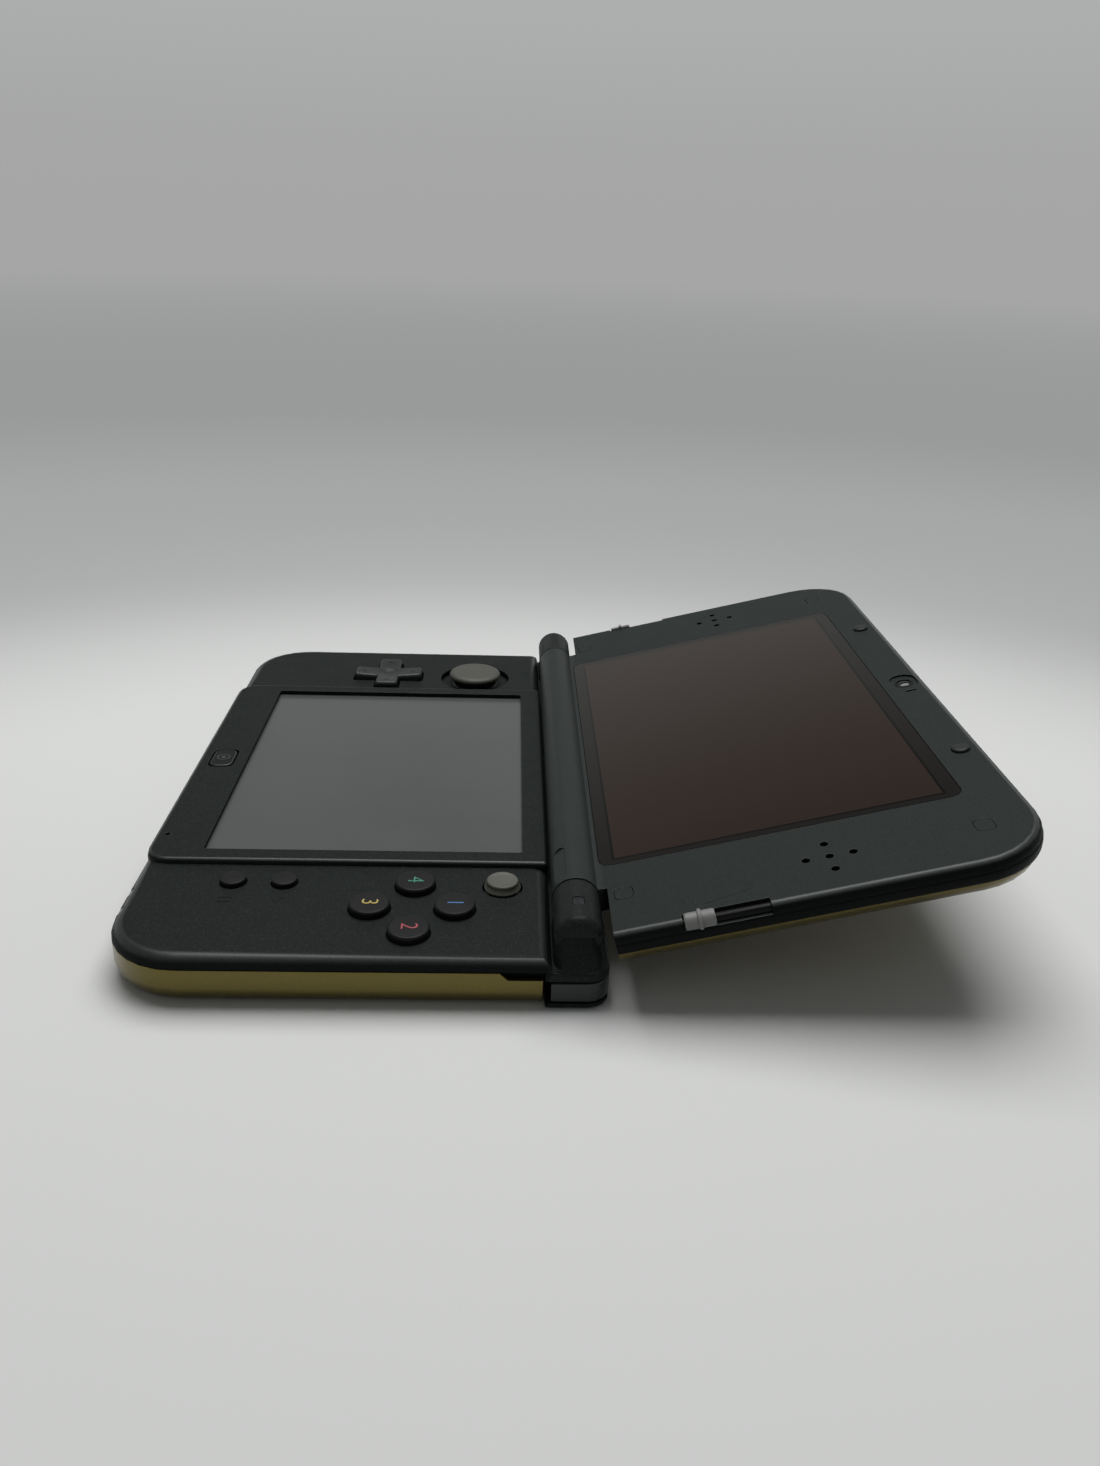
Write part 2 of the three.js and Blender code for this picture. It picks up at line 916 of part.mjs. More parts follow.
function coverScrew([x, y]) {
  const at = [x, y];
  const headTop = seatGap + screwHeadHeight;
  const head = rod({ at, span: [seatGap, headTop], radius: screwHeadRadius });
  const shank = rod({ at, span: [headTop - slipGap, headTop + screwLength], radius: screwShankRadius });
  return joined(head, shank);
}

// The tray that carries the board, with the block behind it and the two hinge knuckles
function tray() {
  const rimTop = plateUnderside - trayRimDrop;
  const bounds = { x: [-right, right], y: [front, housingRear + trayEdgeRadius * 2] };
  const outer = slab({
    ...bounds,
    z: [trayBottom, rimTop],
    radii: frontCorners(cornerRadius),
    inset: trayInset,
    underRound: trayEdgeRadius,
  });
  const inner = slab({
    ...bounds,
    z: [trayFloorTop, rimTop + overrun],
    radii: frontCorners(cornerRadius),
    inset: trayInside,
  });
  const behind = box({
    x: [-width, width],
    y: [housingRear - trayInset, depth],
    z: [0, rimTop + overrun],
  });
  const rearWall = box({
    x: around(0, width - (trayInset + trayEdgeRadius) * 2),
    y: [trayRearInside, housingRear - trayInset],
    z: [trayBottom, rimTop],
  });
  const coupling = box({
    x: around(0, width - (trayInset + trayEdgeRadius) * 2),
    y: [trayRearInside, blockFront + overrun],
    z: [trayBottom, blockTop - blockTopRound],
  });
  return joined(cut(outer, inner, behind), rearWall, coupling);
}

function rearBlock() {
  return slab({
    x: [-right, right],
    y: [blockFront, rear],
    z: [0, blockTop],
    radii: backCorners(blockCornerRadius),
    underRound: blockUnderRound,
    topRound: blockTopRound,
  });
}

const triggerInner = right - shoulderRearLength - triggerFromShoulder - triggerWidth;
const blockHollowHalf = triggerInner - runningGap - pocketWall;

function blockHollow() {
  return box({
    x: [-blockHollowHalf, blockHollowHalf],
    y: [trayRearInside - overrun, rear - blockRearWall],
    z: [trayFloorTop, blockTop - blockRoof],
  });
}

function knuckle(side) {
  const barrel = turned({
    along: "x",
    at: [hingeY, hingeHeight],
    profile: [
      [0, knuckleStart],
      [barrelRadius, knuckleStart],
      ...roundedEnd({ radius: barrelRadius, end: knuckleEnd, round: knuckleDome }),
      [0, knuckleEnd],
    ],
    sides: barrelSides,
  });
  const cheekTop = hingeHeight + cheekTopRise;
  const underEnd = box({
    x: [right - cheekTopFromSide, right],
    y: around(hingeY, (barrelRadius + overrun) * 2),
    z: [0, cheekTop],
  });
  const cheekBounds = { y: [hingeY - barrelRadius, hingeY + barrelRadius] };
  const cheekRadii = [0, cheekCornerRadius, cheekCornerRadius, 0];
  const foot = roundedOutline({
    x: [knuckleStart, right - cheekFootFromSide],
    ...cheekBounds,
    radii: cheekRadii,
  });
  const shoulder = roundedOutline({
    x: [knuckleStart - cheekTopEase, right - cheekTopFromSide + cheekTopEase],
    ...cheekBounds,
    radii: cheekRadii,
    inset: cheekTopEase,
  });
  const cheek = loft([
    { outline: foot, z: blockTop - cheekFootDrop },
    { outline: shoulder, z: cheekTop },
  ]);
  const bore = rod({
    along: "x",
    at: [hingeY, hingeHeight],
    span: [knuckleStart - overrun, knuckleStart + looseGap + cartridgeLength + runningGap * 2],
    radius: cartridgeRadius + runningGap,
  });
  const whole = cut(joined(cut(barrel, underEnd), cheek), bore);
  return side > 0 ? whole : whole.mirror([1, 0, 0]);
}

// The slot for the light on the right knuckle, or the light guide in it
function hingeLight(gap) {
  const at = [hingeY, hingeHeight];
  const span = around(right - hingeLightFromSide, hingeLightWidth + gap * 2);
  const outside = gap > 0 ? barrelRadius + overrun : barrelRadius - seatGap;
  const ring = cut(
    rod({ along: "x", at, span, radius: outside, sides: barrelSides }),
    rod({
      along: "x",
      at,
      span: [span[0] - overrun, span[1] + overrun],
      radius: barrelRadius - hingeLightDepth + (gap > 0 ? 0 : slipGap),
      sides: barrelSides,
    }),
  );
  const reach = hingeLightReach + gap;
  return ring.intersect(
    box({
      x: [span[0] - overrun, span[1] + overrun],
      y: around(hingeY, reach * 2),
      z: [hingeHeight, hingeHeight + barrelRadius + overrun * 2],
    }),
  );
}

const shoulderStart = right - shoulderRearLength;
const shoulderTop = shoulderFloor + shoulderHeight;
const pivotX = shoulderStart + pivotFromEnd;
const pivotY = rear - pivotFromRear;

function shoulderPocket(side) {
  const z = [shoulderFloor - runningGap, shoulderTop + runningGap];
  const behind = box({
    x: [shoulderStart - shoulderEndGap, right + overrun],
    y: [rear - shoulderRearDepth - shoulderPocketMargin, rear + overrun],
    z,
  });
  const beside = box({
    x: [right - shoulderSideDepth - shoulderPocketMargin, right + overrun],
    y: [rear - shoulderSideLength - shoulderPocketMargin - overrun, rear + overrun],
    z,
  });
  const pivot = rod({
    at: [pivotX, pivotY],
    span: [shoulderFloor - pivotPinReach - runningGap, shoulderTop + pivotPinReach + runningGap],
    radius: pivotHoleRadius,
  });
  const whole = joined(behind, beside, pivot);
  return side > 0 ? whole : whole.mirror([1, 0, 0]);
}

const triggerMiddleHeight = shoulderFloor + shoulderHeight / 2;

function triggerPocket(side) {
  const whole = box({
    x: [triggerInner - runningGap, triggerInner + triggerWidth + runningGap],
    y: [rear - triggerDepth - triggerTravel - triggerPocketMargin, rear + overrun],
    z: around(triggerMiddleHeight, triggerHeight + runningGap * 2),
  });
  return side > 0 ? whole : whole.mirror([1, 0, 0]);
}

const infraredEnd = triggerInner - infraredFromTrigger;
const infraredStart = infraredEnd - infraredWidth;

// Openings in the block's rear wall for the charging socket and the infrared window
function rearOpenings() {
  const throughWall = [rear - blockRearWall - overrun, rear + overrun];
  const charging = box({
    x: around(0, chargingWidth + looseGap * 2),
    y: throughWall,
    z: around(powerZ, chargingHeight + looseGap * 2),
  });
  const infrared = box({
    x: [infraredStart, infraredEnd],
    y: throughWall,
    z: around(infraredMiddleHeight, infraredHeight),
  });
  return [charging, infrared];
}

const batteryBounds = {
  x: [cardSlotRight + cardSlotWall + batteryFromCardSlot, stylusX - batteryFromStylus],
  y: [front + boardFromFront - boardCutMargin, front + boardFromFront - boardCutMargin + batteryLength],
};

function batteryHole() {
  return slab({
    ...batteryBounds,
    z: [trayBottom - overrun, trayFloorTop + slipGap],
    radii: alike(batteryCornerRadius),
    inset: -runningGap,
  });
}

const boardRear = housingRear - boardFromRear;
const boardSide = right - boardFromSide;
const boardPosts = [
  [boardSide - boardPostInset, front + boardFromFront + boardPostInset],
  [boardSide - boardPostInset, boardRear - boardPostInset],
  [-boardSide + boardPostInset, boardRear - boardPostInset],
  [-boardSide + boardPostInset, dpadPlace.y],
  [0, boardRear - boardPostInset],
];

function trayPosts() {
  const foot = trayFloorTop - slipGap;
  const board = boardPosts.map((at) => {
    return rod({ at, span: [foot, boardBottom - slipGap], radius: boardPostRadius, sides: hiddenSides });
  });
  const screws = screwPlaces.map((at) => {
    return rod({ at, span: [foot, boardTop], radius: screwBossRadius, sides: hiddenSides });
  });
  return [...board, ...screws];
}

function baseLowerHousing() {
  const screwHoles = screwPlaces.map((at) => {
    return rod({
      at,
      span: [trayBottom - overrun, seatGap + screwHeadHeight + screwLength + looseGap],
      radius: screwShankRadius + looseGap,
    });
  });
  return cut(
    joined(tray(), rearBlock(), sides.map(knuckle), trayPosts()),
    blockHollow(),
    sides.map(shoulderPocket),
    sides.map(triggerPocket),
    rearOpenings(),
    batteryHole(),
    screwHoles,
    frontOpenings(),
    hingeLight(slipGap),
  );
}

// Pieces under the screen panel
function touchPanel() {
  const top = panelTop - windowRecess;
  return slab({
    ...windowBounds(touchPanelLap),
    z: [top - touchPanelThickness, top],
    radii: alike(windowCornerRadius),
  });
}

function lowerModule() {
  const top = panelTop - windowRecess - touchPanelThickness - slipGap;
  return slab({
    ...windowBounds(lowerModuleLap),
    z: [top - lowerModuleThickness, top],
    radii: alike(windowCornerRadius),
  });
}

function battery() {
  const bottom = coverWall + runningGap;
  return slab({
    ...batteryBounds,
    z: [bottom, bottom + batteryThickness],
    radii: alike(batteryCornerRadius),
  });
}

const cardSlotRear = trayFrontInside + seatGap + cardSlotLength;

function mainBoard() {
  const through = [boardBottom - overrun, boardTop + overrun];
  const plate = slab({
    x: [-boardSide, boardSide],
    y: [front + boardFromFront, boardRear],
    z: [boardBottom, boardTop],
    radii: alike(batteryCornerRadius),
  });
  const batteryCut = box({
    x: [batteryBounds.x[0] - boardCutMargin, batteryBounds.x[1] + boardCutMargin],
    y: [front, batteryBounds.y[1] + boardCutMargin],
    z: through,
  });
  const cardCut = box({
    x: [-width, batteryBounds.x[0]],
    y: [front, cardSlotRear + boardCutMargin],
    z: through,
  });
  const stylusCut = box({
    x: around(stylusX, (stylusRadius + boardCutMargin) * 2),
    y: [front, front - stylusProud + stylusLength + boardCutMargin],
    z: through,
  });
  return cut(plate, batteryCut, cardCut, stylusCut);
}

function gameCardSlot() {
  const outer = box({
    x: [cardSlotLeft - cardSlotWall, cardSlotRight + cardSlotWall],
    y: [trayFrontInside + seatGap, cardSlotRear],
    z: [cardSlotFloor - cardSlotSkin, cardSlotFloor + cardSlotHeight + cardSlotSkin],
  });
  const inner = box({
    x: [cardSlotLeft, cardSlotRight],
    y: [front, cardSlotRear - cardSlotWall],
    z: [cardSlotFloor, cardSlotFloor + cardSlotHeight],
  });
  return cut(outer, inner);
}

function headphoneSocket() {
  const at = [-headphoneFromMiddle, stylusZ];
  const bodyStart = trayFrontInside + seatGap;
  const body = box({
    x: around(-headphoneFromMiddle, headphoneBodyWidth),
    y: [bodyStart, bodyStart + headphoneBodyLength],
    z: around(stylusZ, stylusRadius * 2),
  });
  const nose = rod({
    along: "y",
    at,
    span: [front + seatGap, bodyStart + seatGap],
    radius: headphoneNoseRadius,
  });
  const bore = rod({
    along: "y",
    at,
    span: [front - overrun, front + headphoneDepth],
    radius: headphoneBore / 2,
    sides: hiddenSides,
  });
  return cut(joined(body, nose), bore);
}

function chargingSocket() {
  const mouth = rear - runningGap * 2;
  const shell = box({
    x: around(0, chargingWidth),
    y: [mouth - chargingLength, mouth],
    z: around(powerZ, chargingHeight),
  });
  const hollow = box({
    x: around(0, chargingWidth - chargingWall * 2),
    y: [mouth - chargingLength + chargingWall, mouth + overrun],
    z: around(powerZ, chargingHeight - chargingWall * 2),
  });
  const tongue = box({
    x: around(0, chargingWidth / 2),
    y: [mouth - chargingLength, mouth - overrun],
    z: around(powerZ, chargingTongue),
  });
  return joined(cut(shell, hollow), tongue);
}

function infraredWindow() {
  const inside = rear - blockRearWall - slipGap;
  const middle = (infraredStart + infraredEnd) / 2;
  const face = box({
    x: around(middle, infraredWidth - seatGap * 2),
    y: [inside - slipGap, rear - seatGap],
    z: around(infraredMiddleHeight, infraredHeight - seatGap * 2),
  });
  const lip = box({
    x: around(middle, infraredWidth + infraredLip * 2),
    y: [inside - infraredLip, inside],
    z: around(infraredMiddleHeight, infraredHeight),
  });
  return joined(face, lip);
}

// Stylus, drawn with its flat end at Y zero and its tip away from the player
function stylus() {
  const grooveStart = stylusCapLength / 2;
  return turned({
    along: "y",
    at: [0, 0],
    profile: [
      [0, 0],
      [stylusRadius - stylusGroove, 0],
      [stylusRadius, stylusGroove],
      [stylusRadius, grooveStart],
      [stylusRadius - stylusGroove, grooveStart + stylusGroove],
      [stylusRadius - stylusGroove, stylusCapLength],
      [stylusRadius, stylusCapLength + stylusGroove],
      [stylusRadius, stylusLength - stylusTipLength],
      [stylusTipRadius * 2, stylusLength - stylusTipRadius * 2],
      [stylusTipRadius, stylusLength],
      [0, stylusLength],
    ],
    sides: hiddenSides,
  });
}

function powerButton() {
  const face = box({
    x: around(0, powerWidth),
    y: [-powerProud, trayInside + seatGap + slipGap],
    z: around(0, powerHeight),
  });
  const flange = box({
    x: around(0, powerWidth + powerFlangeLap * 2),
    y: [trayInside + seatGap, trayInside + seatGap + powerFlangeThickness],
    z: around(0, powerHeight + powerFlangeLap * 2),
  });
  return joined(face, flange);
}

// A round button cap with a rounded top edge, drawn with the control face at Z zero
function buttonCap(radius, proud) {
  const bottom = flangeUnderside - controlFaceHeight;
  return turned({
    at: [0, 0],
    profile: [
      [0, bottom],
      [radius, bottom],
      ...roundedEnd({ radius, end: proud, round: buttonEdgeRound }),
      [0, proud],
    ],
  });
}

function faceButton() {
  const bottom = flangeUnderside - controlFaceHeight;
  const ears = box({
    x: around(0, faceEarWidth),
    y: around(0, (faceButtonRadius + faceEarReach) * 2),
    z: [bottom, bottom + flangeThickness],
  });
  return joined(buttonCap(faceButtonRadius, faceButtonProud), ears);
}

function smallButton() {
  const bottom = flangeUnderside - controlFaceHeight;
  const flange = rod({
    at: [0, 0],
    span: [bottom, bottom + flangeThickness],
    radius: smallButtonRadius + smallFlangeLap,
  });
  return joined(buttonCap(smallButtonRadius, smallButtonProud), flange);
}

function homeButton() {
  const flangeLevel = panelUnderside - seatGap - panelTop;
  const flange = slab({
    x: around(0, homeWidth + homeFlangeLap * 2),
    y: around(0, homeDepth + homeFlangeLap * 2),
    z: [flangeLevel - homeFlangeThickness, flangeLevel],
    radii: alike(homeCornerRadius),
  });
  const cap = slab({
    x: around(0, homeWidth),
    y: around(0, homeDepth),
    z: [flangeLevel - slipGap, homeProud],
    radii: alike(homeCornerRadius),
    topRound: buttonEdgeRound / 2,
  });
  return joined(flange, cap);
}

// One sheet of rubber domes under the face buttons and the two small buttons
function buttonMembrane() {
  const z = [boardSeat, membraneTop];
  const reach = faceButtonSpread + membraneMargin;
  const facePlate = slab({
    x: around(faceButtonsX, reach * 2),
    y: around(faceButtonsY, reach * 2),
    z,
    radii: alike(membraneMargin),
  });
  const neck = slab({
    x: around(smallButtonsX, membraneNeckWidth),
    y: [smallButtonPlaces[1].y - membraneMargin, faceButtonsY],
    z,
    radii: alike(membraneMargin / 2),
  });
  const dome = (place, travel) => {
    const top = flangeUnderside - travel - runningGap - slipGap;
    return turned({
      at: [place.x, place.y],
      profile: [
        [0, membraneTop - slipGap],
        [domeRadius, membraneTop - slipGap],
        [domeTopRadius, top],
        [0, top],
      ],
      sides: hiddenSides,
    });
  };
  return joined(
    facePlate,
    neck,
    faceButtonPlaces.map((place) => dome(place, faceButtonTravel)),
    smallButtonPlaces.map((place) => dome(place, smallButtonTravel)),
  );
}

// Circle pad: a housing with rails, a carriage that slides along X, a cap that slides along Y
const padHousingTop = boardSeat + padHousingThickness;
const carriageBottom = padHousingTop + runningGap;
const carriageTop = carriageBottom + carriageThickness;

function circlePadHousing() {
  const half = padHousingHalfWidth;
  const plate = box({
    x: [circlePad.x - half, circlePad.x + half],
    y: [circlePad.y - half, circlePad.y + half],
    z: [boardSeat, padHousingTop],
  });
  const rails = sides.map((side) => {
    const inner = side * (carriageDepth / 2 + runningGap);
    const outer = inner + side * railWidth;
    return box({
      x: [circlePad.x - half, circlePad.x + half],
      y: ordered(circlePad.y + inner, circlePad.y + outer),
      z: [padHousingTop - slipGap, padHousingTop + railHeight],
    });
  });
  return joined(plate, rails);
}

function circlePadCarriage() {
  const plate = box({
    x: around(0, carriageWidth),
    y: around(0, carriageDepth),
    z: [carriageBottom, carriageTop],
  });
  const slot = box({
    x: around(0, circleStemWidth + runningGap * 2),
    y: around(0, circleStemWidth + (circlePadTravel + runningGap) * 2),
    z: [carriageBottom - overrun, carriageTop + overrun],
  });
  return cut(plate, slot);
}

function circlePadCap() {
  const skirtRadius = circleOpeningRadius + circlePadTravel;
  const capTop = controlFaceHeight + circleCapRise;
  const capBottom = capTop - circleCapThickness;
  const rim = circleCapRadius - circleDishRim;
  const dish = Array.from({ length: edgeSteps + 1 }, (_, step) => {
    const share = 1 - step / edgeSteps;
    return [rim * share, capTop - circleDish * (1 - share * share)];
  });
  const form = turned({
    at: [0, 0],
    profile: [
      [0, flangeUnderside + slipGap],
      [skirtRadius, flangeUnderside + slipGap],
      [skirtRadius, flangeTop],
      [circleNeckRadius, flangeTop],
      [circleNeckRadius, capBottom],
      [circleCapRadius - buttonEdgeRound, capBottom],
      [circleCapRadius, capBottom + buttonEdgeRound],
      ...roundedEnd({ radius: circleCapRadius, end: capTop, round: buttonEdgeRound * 2 }),
      ...dish,
    ],
    sides: barrelSides,
  });
  const stem = box({
    x: around(0, circleStemWidth),
    y: around(0, circleStemWidth),
    z: [carriageBottom + slipGap, flangeTop],
  });
  return joined(form, stem);
}

// Direction pad on a rocking pivot
const dpadFlangeTop = plateUnderside - dpadFlangeDrop;
const dpadFlangeUnderside = dpadFlangeTop - dpadFlangeThickness;
const dpadPivotBottom = boardTop + runningGap + seatGap;

function dpadPivot() {
  return turned({
    at: [0, 0],
    profile: [
      [0, dpadPivotBottom],
      [dpadPivotRadius, dpadPivotBottom],
      ...roundedEnd({
        radius: dpadPivotRadius,
        end: dpadPivotBottom + dpadPivotHeight,
        round: buttonEdgeRound,
      }),
      [0, dpadPivotBottom + dpadPivotHeight],
    ],
  });
}

function dpad() {
  const top = controlFaceHeight + dpadProud;
  const arms = prism({
    outline: crossOutline(dpadSpan, dpadArmWidth, dpadArmRound),
    z: [dpadFlangeUnderside, top - dpadEdgeRound],
  });
  const crown = prism({
    outline: crossOutline(
      dpadSpan - dpadEdgeRound,
      dpadArmWidth - dpadEdgeRound,
      dpadArmRound - dpadEdgeRound / 2,
    ),
    z: [top - dpadEdgeRound * 2, top],
  });
  const flange = prism({
    outline: crossOutline(
      dpadSpan + (dpadGap + dpadFlangeLap) * 2,
      dpadArmWidth + (dpadGap + dpadFlangeLap) * 2,
      dpadArmRound,
    ),
    z: [dpadFlangeUnderside, dpadFlangeTop],
  });
  const hub = rod({
    at: [0, 0],
    span: [dpadFlangeUnderside - dpadHubDrop, dpadFlangeTop],
    radius: dpadHubRadius,
  });
  const dish = new THREE.SphereGeometry(dpadDishRadius, holeSides, holeSides);
  dish.translate(0, 0, top + dpadDishRadius - dpadDishDepth);
  return cut(joined(arms, crown, flange, hub), solid(dish));
}

// Thumb stick: a post on the board that rocks one way and a cap that rocks the other
const stickPostBottom = boardTop + runningGap;
const stickPostTop = stickPostBottom + stickPostHeight;

function stickPost() {
  return rod({ at: [0, 0], span: [stickPostBottom, stickPostTop], radius: stickPostRadius });
}

function stickCap() {
  const top = controlFaceHeight + stickRise;
  const skirtTop = plateUnderside - stickFlangeDrop;
  return turned({
    at: [0, 0],
    profile: [
      [0, stickPostTop + runningGap],
      [stickNeckRadius, stickPostTop + runningGap],
      [stickNeckRadius, skirtTop - flangeThickness],
      [stickFlangeRadius, skirtTop - flangeThickness],
      [stickFlangeRadius, skirtTop],
      [stickNeckRadius, skirtTop],
      [stickNeckRadius, controlFaceHeight - slipGap],
      [stickBaseRadius, controlFaceHeight + slipGap],
      ...roundedEnd({ radius: stickTopRadius, end: top, round: stickTopRound }),
      [0, top],
    ],
  });
}

// Shoulder button around the rear corner, and the trigger beside it
function shoulderButton(side) {
  const corner = {
    x: [shoulderStart, right],
    y: [rear - shoulderSideLength, rear],
    radii: [0, 0, blockCornerRadius, 0],
  };
  const z = [shoulderFloor, shoulderTop];
  const outer = slab({ ...corner, z, underRound: shoulderEdgeRound, topRound: shoulderEdgeRound });
  const inner = box({
    x: [shoulderStart - overrun, right - shoulderSideDepth],
    y: [rear - shoulderSideLength - overrun, rear - shoulderRearDepth],
    z: [shoulderFloor - overrun, shoulderTop + overrun],
  });
  const pins = rod({
    at: [pivotX, pivotY],
    span: [shoulderFloor - pivotPinReach, shoulderTop + pivotPinReach],
    radius: pivotPinRadius,
    sides: hiddenSides,
  });
  const whole = joined(cut(outer, inner), pins).translate([-pivotX, -pivotY, 0]);
  return side > 0 ? whole : whole.mirror([1, 0, 0]);
}

function trigger() {
  return slab({
    x: around(0, triggerWidth),
    y: [-triggerDepth, 0],
    z: around(triggerMiddleHeight, triggerHeight),
    radii: backCorners(triggerRound),
    topRound: triggerRound / 2,
    underRound: triggerRound / 2,
  });
}

// Hinge pieces in the base's knuckles: a tube that holds the shaft of the lid
function hingeTube() {
  const start = knuckleStart + looseGap;
  const span = [start, start + cartridgeLength];
  const at = [hingeY, hingeHeight];
  return cut(
    rod({ along: "x", at, span, radius: cartridgeRadius, sides: holeSides }),
    rod({
      along: "x",
      at,
      span: [start - overrun, start + cartridgeLength - cartridgeRadius / 2],
      radius: shaftRadius + runningGap,
    }),
  );
}

function hingeShaft(side) {
  const end = side * (barrelEnd + shaftInKnuckle);
  const start = end - side * shaftLength;
  return rod({ along: "x", at: [0, 0], span: ordered(start, end), radius: shaftRadius, sides: holeSides });
}

function hingePin() {
  const start = -barrelEnd - shaftInKnuckle;
  const bore = rod({
    along: "x",
    at: [0, 0],
    span: [start - overrun, start + shaftLength + overrun],
    radius: pinBoreRadius,
    sides: hiddenSides,
  });
  return cut(hingeShaft(-1), bore);
}

// Lid, in its own frame
function bezelForm(inset) {
  const long = slab({
    x: [-right, right],
    y: [lidEdgeFromAxis - cornerRadius, lidEdge],
    z: [bezelUnderside, faceLevel - inset],
    radii: backCorners(cornerRadius),
    inset,
    topRound: bezelFillet - Math.min(inset, 0),
  });
  return long;
}

const beforeLidEdge = {
  x: [-width, width],
  y: [-depth, lidEdgeFromAxis],
  z: [-depth, depth],
};

function bezelHollow() {
  return slab({
    x: [-right, right],
    y: [lidEdgeFromAxis, lidEdge],
    z: [bezelUnderside - overrun, plateLevel],
    radii: backCorners(cornerRadius),
    inset: housingWall,
  });
}

function barrel() {
  const at = [0, 0];
  const tube = rod({
    along: "x",
    at,
    span: [-barrelEnd, barrelEnd],
    radius: barrelRadius,
    sides: barrelSides,
  });
  const root = box({
    x: [-barrelEnd, barrelEnd],
    y: [0, lidEdgeFromAxis + housingWall],
    z: [bezelUnderside, faceLevel],
  });
  const web = box({
    x: [-barrelEnd, barrelEnd],
    y: [0, webLength],
    z: [-webDepth, bezelUnderside + slipGap],
  });
  return joined(tube, root, web);
}

function barrelBores() {
  const at = [0, 0];
  const core = barrelEnd - barrelPlugLength;
  return [
    rod({
      along: "x",
      at,
      span: [-barrelEnd - overrun, barrelEnd + overrun],
      radius: shaftRadius + seatGap,
      sides: holeSides,
    }),
    rod({ along: "x", at, span: [-core, core], radius: barrelCoreRadius, sides: holeSides }),
  ];
}

// A shallow oval fingerprint on the barrel's front side near its right end
function barrelDent() {
  const half = (dentLength - dentWidth) / 2;
  const outline = new THREE.Shape();
  outline.absarc(half, 0, dentWidth / 2, -Math.PI / 2, Math.PI / 2);
  outline.absarc(-half, 0, dentWidth / 2, Math.PI / 2, (Math.PI * 3) / 2);
  const geometry = new THREE.ExtrudeGeometry(outline, {
    depth: overrun + dentDepth,
    bevelEnabled: false,
    curveSegments: wideEdgeSteps,
  });
  geometry.translate(dentFromMiddle, 0, barrelRadius - dentDepth);
  geometry.rotateX(THREE.MathUtils.degToRad(dentAngle));
  return solid(geometry);
}

const glassBounds = {
  x: [-glassSide, glassSide],
  y: [glassFromAxis, glassEnd],
};
const screenOpening = {
  x: [-glassSide + openingSideLap, glassSide - openingSideLap],
  y: [glassFromAxis + openingHingeLap, glassEnd - openingEdgeLap],
};

function speakerHoles(side) {
  const middle = [side * (right - speakerFromSide), speakerAlong];
  const offsets = [[0, 0], [1, 0], [-1, 0], [0, 1], [0, -1]];
  return offsets.map(([x, y]) => {
    return rod({
      at: [middle[0] + x * speakerHolePitch, middle[1] + y * speakerHolePitch],
      span: [plateLevel - overrun, faceLevel + overrun],
      radius: speakerHoleRadius,
      sides: hiddenSides,
    });
  });
}

const innerCameraY = lidEdge - innerCameraFromEdge;

function innerCameraCuts() {
  const recess = slab({
    x: around(0, cameraRecessWidth),
    y: around(innerCameraY, cameraRecessLength),
    z: [faceLevel - cameraRecessDepth, faceLevel + overrun],
    radii: alike(cameraRecessLength / 2 - leastRadius),
  });
  const hole = rod({
    at: [0, innerCameraY],
    span: [plateLevel - overrun, faceLevel],
    radius: cameraHoleRadius,
  });
  const slit = slab({
    x: around(slitFromMiddle, slitWidth),
    y: around(innerCameraY, slitLength),
    z: [faceLevel - cameraRecessDepth, faceLevel + overrun],
    radii: alike(slitWidth / 2 - leastRadius),
  });
  return [recess, hole, slit];
}

const bumperY = lidEdge - bumperFromEdge;
const plugPlaces = [
  ...sides.map((side) => ({
    name: `screw_plug_edge_${sideNames[side]}`,
    x: side * (right - outerPlugFromSide),
    y: lidEdge - outerPlugFromEdge,
  })),
  ...sides.map((side) => ({
    name: `screw_plug_hinge_${sideNames[side]}`,
    x: side * (right - hingePlugFromSide),
    y: hingePlugFromAxis,
  })),
];

function bumperRecess(side) {
  return rod({
    at: [side * bumperFromMiddle, bumperY],
    span: [faceLevel - bumperSeat, faceLevel + overrun],
    radius: bumperRadius + seatGap,
    sides: holeSides,
  });
}

function screwPlug(place, grown) {
  return slab({
    x: around(place.x, plugWidth + grown * 2),
    y: around(place.y, plugLength + grown * 2),
    z: [faceLevel - plugDepth - grown, faceLevel + (grown > 0 ? overrun : 0)],
    radii: alike(plugCornerRadius),
  });
}

// Sliders: a knob in a slot that follows the rounded edge of the bezel
const sliderPlaces = { 1: depthSliderAlong, "-1": volumeSliderAlong };
const sliderTop = faceLevel;
const sliderBottom = bezelUnderside + sliderSlotBottom;

function sliderBand(side, along, z) {
  return box({
    x: ordered(side * (right + overrun), side * (right - bezelFillet - sliderSlotTop)),
    y: along,
    z,
  });
}

function sliderSlot(side) {
  const start = sliderPlaces[side] - sliderKnobLength / 2 - runningGap;
  const end = start + sliderKnobLength + sliderTravel + runningGap * 2;
  const band = sliderBand(side, [start, end], [sliderBottom, sliderTop + overrun]);
  return cut(band, bezelForm(sliderSlotDepth));
}

function sliderKnob(side) {
  const middle = sliderPlaces[side];
  const z = [sliderBottom + looseGap, sliderTop + overrun];
  const seat = bezelForm(sliderSlotDepth - sliderKnobSkin);
  const body = sliderBand(side, around(middle, sliderKnobLength), z).intersect(
    bezelForm(-sliderKnobProud),
  );
  const rib = sliderBand(side, around(middle, sliderRibLength), z).intersect(
    bezelForm(-sliderKnobProud - sliderRibProud),
  );
  const inboard = box({
    x: ordered(0, side * (right - bezelFillet - sliderSlotTop + looseGap)),
    y: [-depth, depth],
    z: [-depth, depth],
  });
  return cut(joined(body, rib), seat, inboard);
}

